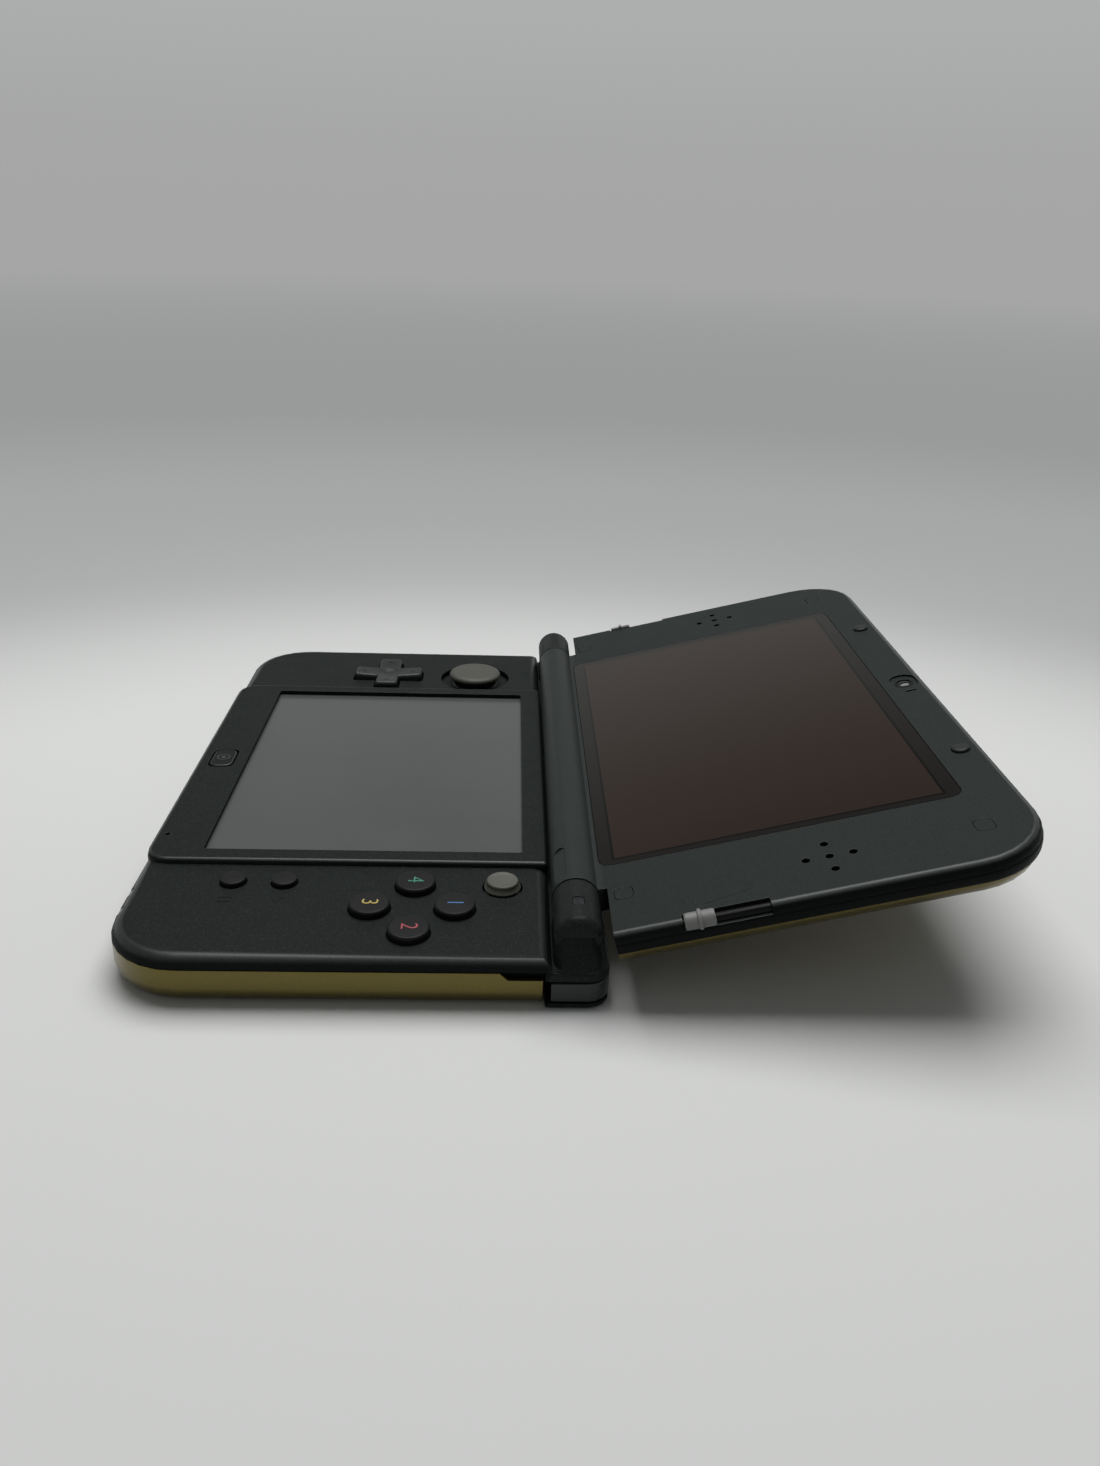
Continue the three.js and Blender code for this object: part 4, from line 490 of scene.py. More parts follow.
# %% Touch film
def touch_film():
    """Polyester film over a grey display: faint grain and a slow change of tone."""
    material, tree, shader = new_finish("touch_film", "#4D5052", 0.22, IOR=1.5)
    patches = cloud(tree, 40 * MM)
    tone = add_node(
        tree, "ShaderNodeMix", COLOURS, {0: patches, 6: linear("#4C4E4F"), 7: linear("#565857")}
    )
    tree.links.new(tone.outputs[2], shader.inputs["Base Color"])
    dull = add_node(tree, "ShaderNodeMapRange", SOFT, {0: patches, **CLOUD_SPAN, 3: 0.2, 4: 0.26})
    tree.links.new(dull.outputs[0], shader.inputs["Roughness"])
    fine_bump(tree, shader, 0.3 * MM, 0.003 * MM)
    return material


# %% Screen cover
DISPLAY_HALF = 53.8 * MM
DISPLAY_FROM, DISPLAY_TO = 8.45 * MM, 74.1 * MM
BLACK_LINE, PRINT_BLUR = 0.5 * MM, 0.15 * MM


def rectangle(tree, across, along, half, start, end):
    """1 inside a rectangle of half width half, from start to end, and 0 outside it."""
    size = add_node(tree, "ShaderNodeMath", SIZE_OF, {0: across})
    sides = add_node(tree, "ShaderNodeMapRange", SOFT, {0: size, 1: half, 2: half - PRINT_BLUR})
    first = add_node(tree, "ShaderNodeMapRange", SOFT, {0: along, 1: start, 2: start + PRINT_BLUR})
    last = add_node(tree, "ShaderNodeMapRange", SOFT, {0: along, 1: end, 2: end - PRINT_BLUR})
    ends = add_node(tree, "ShaderNodeMath", TIMES, {0: first, 1: last})
    return add_node(tree, "ShaderNodeMath", TIMES, {0: sides, 1: ends})


def screen_cover():
    """Hard-coated acrylic: a printed charcoal frame, a black line, and the dark display."""
    material, tree, shader = new_finish(
        "hard_coated_acrylic", "#1A1817", 0.06, IOR=1.49, Specular_IOR_Level=0.19
    )
    spot = add_node(tree, "ShaderNodeTexCoord").outputs["Object"]
    moved = add_node(
        tree, "ShaderNodeVectorMath", {"operation": "SUBTRACT"}, {0: spot, 1: tuple(HINGE)}
    )
    laid_flat = add_node(
        tree, "ShaderNodeMapping", None, {"Vector": moved, "Rotation": (-LID_TILT, 0, 0)}
    )
    part = add_node(tree, "ShaderNodeSeparateXYZ", None, {0: laid_flat})
    across, along = part.outputs[0], part.outputs[1]
    display = rectangle(tree, across, along, DISPLAY_HALF, DISPLAY_FROM, DISPLAY_TO)
    border = rectangle(
        tree,
        across,
        along,
        DISPLAY_HALF + BLACK_LINE,
        DISPLAY_FROM - BLACK_LINE,
        DISPLAY_TO + BLACK_LINE,
    )
    frame_print = add_node(
        tree, "ShaderNodeMix", COLOURS, {0: border, 6: linear("#1A1714"), 7: linear("#010101")}
    )
    picture = add_node(
        tree, "ShaderNodeMix", COLOURS, {0: display, 6: frame_print, 7: linear("#2C211B")}
    )
    tree.links.new(picture.outputs[2], shader.inputs["Base Color"])
    haze = cloud(tree, 30 * MM)
    dull = add_node(tree, "ShaderNodeMapRange", SOFT, {0: haze, **CLOUD_SPAN, 3: 0.05, 4: 0.09})
    tree.links.new(dull.outputs[0], shader.inputs["Roughness"])
    return material


touch = touch_film()
cover = screen_cover()
print("screens", touch.name, cover.name)

# %% [markdown]
# ## Finishes of the controls and small parts
# Buttons are ABS with a fine spark-eroded texture, which spreads the highlight a little. The two
# sticks are topped with soft grey rubber. Sliders are light grey ABS. Metal parts are steel, and
# what lies deep in a hole is plain black plastic.

# %% Small-part finishes
SMOOTHER, ROUGHER = 0.04, 0.06


def moulded(name, colour, lighter, roughness, grain=0.3 * MM, height=0.012 * MM, **settings):
    """Moulded plastic or rubber: slight cloudiness in colour and gloss, and a fine bump."""
    material, tree, shader = new_finish(name, colour, roughness, **settings)
    patches = cloud(tree, 4 * MM)
    tone = add_node(
        tree, "ShaderNodeMix", COLOURS, {0: patches, 6: linear(colour), 7: linear(lighter)}
    )
    tree.links.new(tone.outputs[2], shader.inputs["Base Color"])
    dull = add_node(
        tree,
        "ShaderNodeMapRange",
        SOFT,
        {0: patches, **CLOUD_SPAN, 3: roughness - SMOOTHER, 4: roughness + ROUGHER},
    )
    tree.links.new(dull.outputs[0], shader.inputs["Roughness"])
    fine_bump(tree, shader, grain, height)
    return material


button_abs = moulded("satin_button_abs", "#0D0E0D", "#141514", 0.42, Specular_IOR_Level=0.16)
pad_abs = moulded("direction_pad_abs", "#131514", "#1A1C1B", 0.36, Specular_IOR_Level=0.4)
slate_abs = moulded("slate_gloss_abs", "#0C1114", "#11171A", 0.3, height=0.004 * MM)
grey_rubber = moulded("grey_thumb_rubber", "#3F3F38", "#494941", 0.55, height=0.02 * MM)
nub_rubber = moulded("grey_nub_rubber", "#4A4942", "#55544B", 0.5, height=0.03 * MM)
stop_rubber = moulded("bumper_rubber", "#0F1211", "#151817", 0.36, Specular_IOR_Level=0.3)
slider_abs = moulded("grey_slider_abs", "#6C6D6A", "#777874", 0.42, height=0.006 * MM)
black_abs = moulded("deep_black_abs", "#070808", "#0D0E0E", 0.5, Specular_IOR_Level=0.3)
gloss_abs = moulded(
    "polished_black_abs", "#050606", "#080909", 0.4, height=0.003 * MM, Specular_IOR_Level=0.15
)
lens_acrylic = moulded("black_lens_acrylic", "#040405", "#070708", 0.06, height=0.0005 * MM)
clear_guide = moulded("clear_guide_acrylic", "#1C1F20", "#24282A", 0.2, height=0.002 * MM)
steel = moulded("bright_steel", "#8C8E90", "#9A9C9E", 0.32, height=0.004 * MM, Metallic=1.0)
board_resist = moulded("green_solder_resist", "#1C4A31", "#235A3C", 0.4)
cell_wrap = moulded("battery_wrap", "#34373A", "#3C4043", 0.5)
silicone = moulded("grey_silicone", "#1C1D1E", "#232425", 0.6)
print("materials", len(bpy.data.materials))

# %% [markdown]
# ## Softening the CAD shells
# A CAD solid has razor edges and flat facets. No moulded edge is that sharp: it has a radius of a
# tenth of a millimetre or more, and that thin rounding catches the light. A stack of modifiers
# does it without touching the mesh: weld the loose triangles, merge the flat ones into whole
# faces, bevel the real edges, shade smooth across the rest, and weight the normals so that the
# big faces stay flat.

# %% Smooth by angle
SHARP = math.radians(36)
WELD_WITHIN = 2e-6
FLAT_WITHIN = math.radians(0.4)


def smooth_by_angle():
    """A node group that shades faces smooth and marks edges sharper than SHARP as sharp."""
    tree = bpy.data.node_groups.new("smooth_by_angle", "GeometryNodeTree")
    tree.interface.new_socket("Geometry", in_out="INPUT", socket_type="NodeSocketGeometry")
    tree.interface.new_socket("Geometry", in_out="OUTPUT", socket_type="NodeSocketGeometry")
    source = add_node(tree, "NodeGroupInput")
    smooth = add_node(
        tree, "GeometryNodeSetShadeSmooth", {"domain": "FACE"}, {0: source, "Shade Smooth": True}
    )
    bend = add_node(tree, "GeometryNodeInputMeshEdgeAngle")
    sharp = add_node(
        tree, "FunctionNodeCompare", {"operation": "GREATER_THAN"}, {"A": bend, "B": SHARP}
    )
    edges = add_node(
        tree,
        "GeometryNodeSetShadeSmooth",
        {"domain": "EDGE"},
        {0: smooth, "Selection": sharp, "Shade Smooth": False},
    )
    add_node(tree, "NodeGroupOutput", None, {0: edges})
    return tree


smoothing = smooth_by_angle()


def soften(piece, edge):
    """Rounds the real edges of one CAD object by edge metres and smooths the rest."""
    weld = piece.modifiers.new("weld", "WELD")
    weld.merge_threshold = WELD_WITHIN
    flat = piece.modifiers.new("merge_flat_faces", "DECIMATE")
    flat.decimate_type = "DISSOLVE"
    flat.angle_limit = FLAT_WITHIN
    if edge > 0:
        bevel = piece.modifiers.new("edge_round", "BEVEL")
        bevel.width = edge
        bevel.segments = 2
        bevel.limit_method = "ANGLE"
        bevel.angle_limit = SHARP
        bevel.use_clamp_overlap = False
    smooth = piece.modifiers.new("smooth_by_angle", "NODES")
    smooth.node_group = smoothing
    weighted = piece.modifiers.new("weighted_normals", "WEIGHTED_NORMAL")
    weighted.keep_sharp = True


# %% Finish and edge of each CAD node
# The number is the radius of the rounded edge in mm, and 0 leaves the edges as they are
FINISH = {
    "base_top_housing": (base_charcoal, 0.12),
    "base_lower_housing": (base_charcoal, 0.12),
    "rear_cover": (gold, 0.12),
    "touch_panel": (touch, 0.05),
    "lower_lcd_module": (steel, 0),
    "main_board": (board_resist, 0),
    "battery": (cell_wrap, 0),
    "button_membrane": (silicone, 0),
    "circle_pad_housing": (black_abs, 0),
    "game_card_slot": (black_abs, 0),
    "headphone_socket": (black_abs, 0.1),
    "charging_socket": (steel, 0.05),
    "infrared_window": (lens_acrylic, 0.08),
    "status_light_guide": (clear_guide, 0.05),
    "hinge_light_guide": (clear_guide, 0),
    "hinge_cartridge": (steel, 0),
    "hinge_bush": (steel, 0),
    "cover_screw_left": (steel, 0.1),
    "cover_screw_right": (steel, 0.1),
    "circle_pad_carriage": (black_abs, 0),
    "circle_pad_cap": (grey_rubber, 0),
    "dpad_pivot": (black_abs, 0),
    "dpad": (pad_abs, 0.1),
    "c_stick_post": (black_abs, 0),
    "c_stick_cap": (nub_rubber, 0),
    "button_north": (button_abs, 0),
    "button_east": (button_abs, 0),
    "button_south": (button_abs, 0),
    "button_west": (button_abs, 0),
    "start_button": (button_abs, 0),
    "select_button": (button_abs, 0),
    "home_button": (pad_abs, 0.05),
    "power_button": (button_abs, 0.15),
    "stylus": (black_abs, 0.05),
    "shoulder_left": (slate_abs, 0.1),
    "shoulder_right": (slate_abs, 0.1),
    "trigger_left": (slate_abs, 0.1),
    "trigger_right": (slate_abs, 0.1),
    "lid_bezel": (lid_charcoal, 0.1),
    "lid_outer_cover": (gold, 0.12),
    "lid_glass": (cover, 0),
    "lid_lcd_module": (steel, 0),
    "camera_module": (black_abs, 0),
    "inner_camera_lens": (lens_acrylic, 0),
    "outer_camera_lens_left": (lens_acrylic, 0.1),
    "outer_camera_lens_right": (lens_acrylic, 0.1),
    "hinge_shaft": (steel, 0),
    "hinge_pin": (steel, 0),
    "lid_speaker_left": (black_abs, 0),
    "lid_speaker_right": (black_abs, 0),
    "lid_bumper_left": (stop_rubber, 0),
    "lid_bumper_right": (stop_rubber, 0),
    "screw_plug_edge_left": (lid_charcoal, 0.08),
    "screw_plug_edge_right": (lid_charcoal, 0.08),
    "screw_plug_hinge_left": (lid_charcoal, 0.08),
    "screw_plug_hinge_right": (lid_charcoal, 0.08),
    "depth_slider": (slider_abs, 0.1),
    "volume_slider": (slider_abs, 0.1),
}
for node, (finish, edge) in FINISH.items():
    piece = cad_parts[node]
    soften(piece, edge * MM)
    if piece.data.materials:
        piece.material_slots[0].material = finish
    else:
        piece.data.materials.append(finish)
print("finished nodes", len(FINISH), "of", len(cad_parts))

# %% [markdown]
# ## New surfaces on a grid
# The controls are what fingers touch, so their shapes are the finest on the object. Each one is a
# stack of closed rings of points, from the underside to the top, worked out as whole arrays. Ring
# after ring is joined by quads, and the first and last ring close to a middle point, which makes
# a closed skin that faces outwards.

# %% Mesh from rings
# EYE is the radius in mm of the last ring of a turned top, which a fan then closes
SIDES, EYE = 96, 0.1


def ring_piece(name, rings, finish, body, hoop=False):
    """A closed skin: quads join ring k to ring k + 1, and fans close the first and last ring.
    In a hoop, quads also join the last ring to the first, and there are no fans."""
    rings = np.asarray(rings, dtype=float) * MM
    levels, count = rings.shape[:2]
    points = rings.reshape(-1, 3)
    k, j = np.meshgrid(np.arange(levels if hoop else levels - 1), np.arange(count), indexing="ij")
    after = (j + 1) % count
    here, above = k * count, (k + 1) % levels * count
    quads = np.stack([here + j, here + after, above + after, above + j], axis=-1).reshape(-1, 4)
    faces = quads.tolist()
    if not hoop:
        points = np.concatenate([points, rings[[0, -1]].mean(axis=1)])
        j, after = j[0], after[0]
        last = (levels - 1) * count
        under = np.stack([np.full(count, levels * count), after, j], axis=-1)
        over = np.stack([np.full(count, levels * count + 1), last + j, last + after], axis=-1)
        faces += under.tolist() + over.tolist()
    mesh = bpy.data.meshes.new(name)
    mesh.from_pydata(points.tolist(), [], faces)
    return show(name, mesh, finish, body)


def show(name, mesh, finish, body):
    """Puts a mesh in the scene as a finished piece that rides on a body."""
    mesh.materials.append(finish)
    piece = bpy.data.objects.new(name, mesh)
    scene.collection.objects.link(piece)
    smooth = piece.modifiers.new("smooth_by_angle", "NODES")
    smooth.node_group = smoothing
    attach(piece, body)
    return piece


def turned_rings(reach, height, centre):
    """Rings of a turned form: x = r cos t, y = r sin t around the centre, at height z."""
    turn = np.linspace(0, TAU, SIDES, endpoint=False)
    reach, height = np.asarray(reach, float)[:, None], np.asarray(height, float)[:, None]
    x = centre[0] + reach * np.cos(turn)
    y = centre[1] + reach * np.sin(turn)
    return np.stack([x, y, height + np.zeros_like(x)], axis=-1)


def quarter(reach, height, across, rise, start, end, steps=10):
    """Part of an ellipse, a in degrees: r = reach + across cos a, z = height + rise sin a."""
    angle = np.radians(np.linspace(start, end, steps))
    return reach + across * np.cos(angle), height + rise * np.sin(angle)


def middle_mm(node):
    """The middle of a CAD node seen from above, and its lowest and highest z, in mm."""
    low, high = (np.array(corner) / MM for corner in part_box(node))
    return (low[:2] + high[:2]) / 2, low[2], high[2]


print("rings have", SIDES, "points")

# %% [markdown]
# ## The circle pad
# A thick rubber cap on a sliding carriage. Its rim is fully round and its top is a shallow dish
# for the thumb. Below it a wide black skirt slides under the shell and keeps the dust out. The
# cap and the skirt are two turned forms.

# %% Circle pad
pad_middle, _, pad_top = middle_mm("circle_pad_cap")
CAP_REACH, CAP_RIM, CAP_THICK, CAP_DISH = 7.25, 1.7, 2.05, 0.45
dish_reach = CAP_REACH - CAP_RIM
rim_r, rim_z = quarter(dish_reach, pad_top - CAP_THICK / 2, CAP_RIM, CAP_THICK / 2, -90, 90, 25)
dish_r = np.linspace(dish_reach, EYE, 24)[1:]
dish_z = pad_top - CAP_DISH * 0.5 * (1 + np.cos(math.pi * dish_r / dish_reach))
cap = ring_piece(
    "circle_pad_rubber",
    turned_rings([*rim_r, *dish_r], [*rim_z, *dish_z], pad_middle),
    grey_rubber,
    "circle_pad_cap",
)
pad_skirt_r = [11.6, 11.8, 11.8, 11.6, 6.4, 6.0, 6.0]
pad_skirt_z = [8.25, 8.4, 8.85, 9.0, 9.0, 9.3, 11.5]
skirt = ring_piece(
    "circle_pad_skirt",
    turned_rings(pad_skirt_r, pad_skirt_z, pad_middle),
    base_charcoal,
    "circle_pad_cap",
)
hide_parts("circle_pad_cap")
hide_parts("circle_pad_cap")
print("circle pad at", np.round(pad_middle, 2), "top", round(float(pad_top), 2))

# %% [markdown]
# ## The thumb stick
# A small nub that senses pressure. It flares outwards at its foot, and a low rim runs round its
# flat top. Its rubber is a little lighter than the pad's, and a black collar under the shell
# closes the hole around it.

# %% Thumb stick
stick_middle, _, stick_top = middle_mm("c_stick_cap")
NUB_WAIST, NUB_FLARE, NUB_RIM, NUB_HOLLOW = 3.15, 0.5, 0.45, 0.16
NUB_FLAT, HOLLOW_REACH, HOLLOW_SLOPE = 2.75, 2.2, 0.55
SIDE_FOOT, SIDE_DROP = 10.75, 0.5
foot_r = [2.3, 2.4, 2.4, 2.5, 3.1, 3.6, 3.62]
foot_z = [8.8, 8.9, 9.6, 10.2, 10.4, 10.5, 10.6]
side_top = stick_top - SIDE_DROP
side_z = np.linspace(SIDE_FOOT, side_top, 10)
side_r = NUB_WAIST + NUB_FLARE * ((side_top - side_z) / (side_top - SIDE_FOOT)) ** 1.6
edge_r, edge_z = quarter(NUB_FLAT, stick_top - NUB_RIM, NUB_RIM, NUB_RIM, 0, 90, 10)
top_r = np.linspace(NUB_FLAT, EYE, 12)[1:]
inside = 1 - np.clip((top_r - HOLLOW_REACH) / HOLLOW_SLOPE, 0, 1)
top_z = stick_top - NUB_HOLLOW * inside**2
nub = ring_piece(
    "thumb_stick_rubber",
    turned_rings(
        [*foot_r, *side_r, *edge_r, *top_r], [*foot_z, *side_z, *edge_z, *top_z], stick_middle
    ),
    nub_rubber,
    "c_stick_cap",
)
collar_r = [4.6, 4.8, 4.8, 4.6, 2.4, 2.3]
collar_z = [7.75, 7.9, 8.6, 8.7, 8.7, 8.9]
collar = ring_piece(
    "thumb_stick_collar",
    turned_rings(collar_r, collar_z, stick_middle),
    black_abs,
    "c_stick_cap",
)
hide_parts("c_stick_cap")
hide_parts("c_stick_cap")
print("thumb stick at", np.round(stick_middle, 2), "top", round(float(stick_top), 2))

# %% [markdown]
# ## Outlines with rounded corners
# The direction pad, the home button and the small marks aren't round. Their outline is a polygon
# whose corners give way to arcs, and each point knows its outward direction. A rim is then a
# stack of the same outline, moved inwards by a little more at each level, which keeps the width
# of the rim even. The top carries on with rings that shrink towards the middle.

# %% Rounded outline
def rounded_outline(corners, radius, steps=9):
    """Each corner gives way to an arc that touches both sides. Returns points and normals."""
    corner = np.asarray(corners, float)
    radius = np.broadcast_to(np.asarray(radius, float), len(corner))[:, None]
    to_last = np.roll(corner, 1, axis=0) - corner
    to_next = np.roll(corner, -1, axis=0) - corner
    to_last /= np.linalg.norm(to_last, axis=1, keepdims=True)
    to_next /= np.linalg.norm(to_next, axis=1, keepdims=True)
    half = np.arccos((to_last * to_next).sum(axis=1, keepdims=True)) / 2
    inwards = to_last + to_next
    inwards /= np.linalg.norm(inwards, axis=1, keepdims=True)
    centre = corner + inwards * radius / np.sin(half)
    begin = corner + to_last * radius / np.tan(half) - centre
    end = corner + to_next * radius / np.tan(half) - centre
    start = np.arctan2(begin[:, 1], begin[:, 0])
    sweep = np.arctan2(end[:, 1], end[:, 0]) - start
    sweep = (sweep + math.pi) % TAU - math.pi
    angle = start[:, None] + sweep[:, None] * np.linspace(0, 1, steps)
    way = np.stack([np.cos(angle), np.sin(angle)], axis=-1)
    points = centre[:, None] + radius[:, None] * way
    normals = way * np.sign(sweep)[:, None, None]
    return points.reshape(-1, 2), normals.reshape(-1, 2)


def pad_rings(outline, levels, crown, bottom, shrink=14):
    """Rings up a pad: each level is the outline moved in by an inset, at crown(x, y) - drop. Then
    the last outline shrinks towards its middle, on the crown. The first ring is at bottom."""
    points, normals = outline
    rims = [points - normals * inset for inset, _ in levels]
    drops = [drop for _, drop in levels]
    share = np.linspace(1, 0.03, shrink)[1:, None, None]
    flat = np.concatenate([np.array(rims), rims[-1].mean(axis=0) * (1 - share) + rims[-1] * share])
    drop = np.array(drops + [0.0] * (shrink - 1))[:, None]
    height = crown(flat[..., 0], flat[..., 1]) - drop
    height[0] = bottom
    return np.concatenate([flat, height[..., None]], axis=-1)


def round_levels(radius, steps=7):
    """Levels of a rounded rim, a quarter circle: inset = R (1 - cos a), drop = R (1 - sin a)."""
    angle = np.linspace(0, math.pi / 2, steps)
    return [(radius * (1 - math.cos(a)), radius * (1 - math.sin(a))) for a in angle]


def cut_levels(edge):
    """Levels of a plain rim whose upper edge is cut off at 45 degrees by edge mm."""
    return [(0.0, 0.0), (0.0, edge), (edge, 0.0)]


def level_at(height):
    """A crown that is flat: the same height at every x and y."""
    return lambda x, y: np.full_like(x, height)


def rectangle_corners(centre, width, depth):
    """The corners of a rectangle, counterclockwise from above."""
    x, y = width / 2, depth / 2
    return np.array([(-x, -y), (x, -y), (x, y), (-x, y)]) + centre


print("rounded outlines ready")

# %% [markdown]
# ## The direction pad
# A cross on a rocking pivot. Its four arms rise a little from the middle outwards, the middle has
# a shallow hollow, and each arm carries a small raised arrowhead to feel. The cross is one pad
# over a cross outline, and the arrowheads are four small pads on it.

# %% Cross
cross_middle, _, cross_top = middle_mm("dpad")
SPAN, ARM, ARM_RISE = 18.8, 6.2, 0.9
CROSS_HOLLOW, CROSS_HOLLOW_REACH = 0.25, 2.2
CROSS_RIM, CROSS_FOOT = 0.85, 7.6
SKIRT_SPREAD, SKIRT_FOOT, SKIRT_TOP = 1.07, 7.5, 8.2
a, b = ARM / 2, SPAN / 2
cross = np.array([
    (a, -b), (a, -a), (b, -a), (b, a), (a, a), (a, b),
    (-a, b), (-a, a), (-b, a), (-b, -a), (-a, -a), (-a, -b),
])
cross_radii = np.array([0.9, 0.6, 0.9] * 4)


def cross_crown(x, y):
    """Top of the cross: rises by 0.9 mm towards the ends, with a round hollow in the middle."""
    reach = np.hypot(x - cross_middle[0], y - cross_middle[1])
    slope = ARM_RISE * (1 - np.clip(reach / b, 0, 1)) ** 1.3
    return cross_top - slope - CROSS_HOLLOW * np.exp(-((reach / CROSS_HOLLOW_REACH) ** 4))


cross_piece = ring_piece(
    "direction_cross",
    pad_rings(
        rounded_outline(cross + cross_middle, cross_radii),
        [(0.0, 0.0)] + round_levels(CROSS_RIM),
        cross_crown,
        CROSS_FOOT,
        24,
    ),
    pad_abs,
    "dpad",
)
skirt_piece = ring_piece(
    "direction_skirt",
    pad_rings(
        rounded_outline(cross * SKIRT_SPREAD + cross_middle, 0.6),
        cut_levels(0.1),
        level_at(SKIRT_TOP),
        SKIRT_FOOT,
    ),
    black_abs,
    "dpad",
)
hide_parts("dpad")
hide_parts("dpad")
print("cross top", round(float(cross_top), 2))

# %% Arrowheads
ARROW_OUT, ARROW_RISE, ARROW_FOOT = 6.9, 0.12, 11.4
arrow = np.array([(-0.75, -0.5), (0.75, -0.5), (0.0, 0.65)])
for name, turn in {"rear": 0, "left": 90, "front": 180, "right": 270}.items():
    c, s = math.cos(math.radians(turn)), math.sin(math.radians(turn))
    spun = (arrow + [0, ARROW_OUT]) @ np.array([[c, s], [-s, c]]) + cross_middle
    ring_piece(
        f"direction_arrow_{name}",
        pad_rings(
            rounded_outline(spun, 0.12, 5),
            cut_levels(ARROW_RISE / 2),
            lambda x, y: cross_crown(x, y) + ARROW_RISE,
            ARROW_FOOT,
            4,
        ),
        pad_abs,
        "dpad",
    )
print("arrowheads 4")

# %% [markdown]
# ## The face buttons
# Four round keys with an almost flat top, a soft rim and a dark gap around each. Under the shell
# each has a wider flange that keeps it from falling out. Each has a plain number in its own
# colour, cut from the built-in font.

# %% Buttons
FLANGE_OUT = np.array([0.7, 0.8, 0.8, 0.7, 0.0, 0.0])
FLANGE_HEIGHT = [8.25, 8.35, 8.9, 9.0, 9.0, 9.1]


def key(name, node, reach, rim, crown):
    """A turned key with a rim of radius rim and a top that is crown mm lower at its edge."""
    centre, _, top = middle_mm(node)
    edge_r, edge_z = quarter(reach - rim, top - crown - rim, rim, rim, 0, 90, 12)
    top_r = np.linspace(reach - rim, EYE / 2, 14)[1:]
    top_z = top - crown * (top_r / (reach - rim)) ** 2
    rings_r = [*(reach + FLANGE_OUT), *edge_r, *top_r]
    rings_z = [*FLANGE_HEIGHT, *edge_z, *top_z]
    piece = ring_piece(
        name,
        turned_rings(rings_r, rings_z, centre),
        button_abs,
        node,
    )
    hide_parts(node)
    return centre, top


keys = {
    side: key(f"key_{side}", f"button_{side}", reach=4.0, rim=0.55, crown=0.06)
    for side in ("north", "east", "south", "west")
}
for small in ("start", "select"):
    key(f"{small}_key", f"{small}_button", reach=2.55, rim=0.35, crown=0.1)
print("keys", len(keys) + 2)


# %% Ink
def ink(name, colour):
    """Screen-printed ink: matt, slightly uneven in gloss."""
    return moulded(name, colour, colour, 0.5, height=0.006 * MM)


red_ink = ink("red_ink", "#A5424A")
yellow_ink = ink("yellow_ink", "#B9A452")
blue_ink = ink("blue_ink", "#3D6FA8")
green_ink = ink("green_ink", "#2F8468")


# %% Numerals
# Capital height as a share of the font's size, and the plate's half thickness in mm. The offset
# makes the strokes a little thinner.
CAPITAL, INK_THICK, THINNER = 0.73, 0.02, -0.04


def numeral(name, text, height, place, finish, body):
    """A numeral of a given cap height as a thin plate of mesh, put in place by a matrix."""
    curve = bpy.data.curves.new(name, "FONT")
    curve.body = text
    curve.align_x, curve.align_y = "CENTER", "CENTER"
    curve.size = height / CAPITAL * MM
    curve.extrude = INK_THICK * MM
    curve.offset = THINNER * MM
    curve.resolution_u = 6
    carrier = bpy.data.objects.new(name + "_curve", curve)
    scene.collection.objects.link(carrier)
    bpy.context.view_layer.update()
    mesh = bpy.data.meshes.new_from_object(carrier)
    bpy.data.objects.remove(carrier)
    mesh.transform(place)
    mesh.name = name
    mesh.materials.clear()
    return show(name, mesh, finish, body)


numerals = {
    "north": ("1", blue_ink),
    "east": ("2", red_ink),
    "south": ("3", yellow_ink),
    "west": ("4", green_ink),
}
KEY_NUMERAL, INK_LIFT = 3.4, 0.01
for side, (text, finish) in numerals.items():
    centre, top = keys[side]
    spot = Matrix.Translation(Vector((centre[0], centre[1], top + INK_LIFT)) * MM)
    numeral(
        f"numeral_{side}", text, KEY_NUMERAL, spot, finish, f"button_{side}"
    )
print("numerals", len(numerals))

# %% [markdown]
# ## The home button and the small marks
# The home button is a pillow-shaped rounded rectangle at the front of the panel, with a ring and
# a dot on it. Beside the two small keys the shell has raised marks, a triangle and two bars, a
# tenth of a millimetre high, in the shell's own paint, so that only their edges catch the light.

# %% Home button
home_middle, _, home_top = middle_mm("home_button")
HOME_WIDTH, HOME_DEPTH, HOME_CORNER, HOME_RIM, HOME_FOOT = 9.0, 5.4, 2.0, 0.45, 10.2
PILLOW, PILLOW_HALF = 0.2, (4.7, 2.9)
LEDGE_WIDTH, LEDGE_DEPTH, LEDGE_CORNER, LEDGE_FOOT, LEDGE_TOP = 10.6, 7.0, 1.8, 9.5, 10.3


def home_crown(x, y):
    """A pillow: 0.2 mm lower at its corners than in its middle, by the fourth power."""
    u = np.clip(np.abs((x - home_middle[0]) / PILLOW_HALF[0]), 0, 1)
    v = np.clip(np.abs((y - home_middle[1]) / PILLOW_HALF[1]), 0, 1)
    return home_top - PILLOW * (u**4 + v**4) / 2


home = ring_piece(
    "home_key",
    pad_rings(
        rounded_outline(rectangle_corners(home_middle, HOME_WIDTH, HOME_DEPTH), HOME_CORNER),
        [(0.0, 0.0)] + round_levels(HOME_RIM),
        home_crown,
        HOME_FOOT,
    ),
    base_charcoal,
    "home_button",
)
ledge = ring_piece(
    "home_ledge",
    pad_rings(
        rounded_outline(rectangle_corners(home_middle, LEDGE_WIDTH, LEDGE_DEPTH), LEDGE_CORNER),
        cut_levels(0.1),
        level_at(LEDGE_TOP),
        LEDGE_FOOT,
    ),
    black_abs,
    "home_button",
)
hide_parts("home_button")
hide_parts("home_button")
print("home top", round(float(home_top), 2))

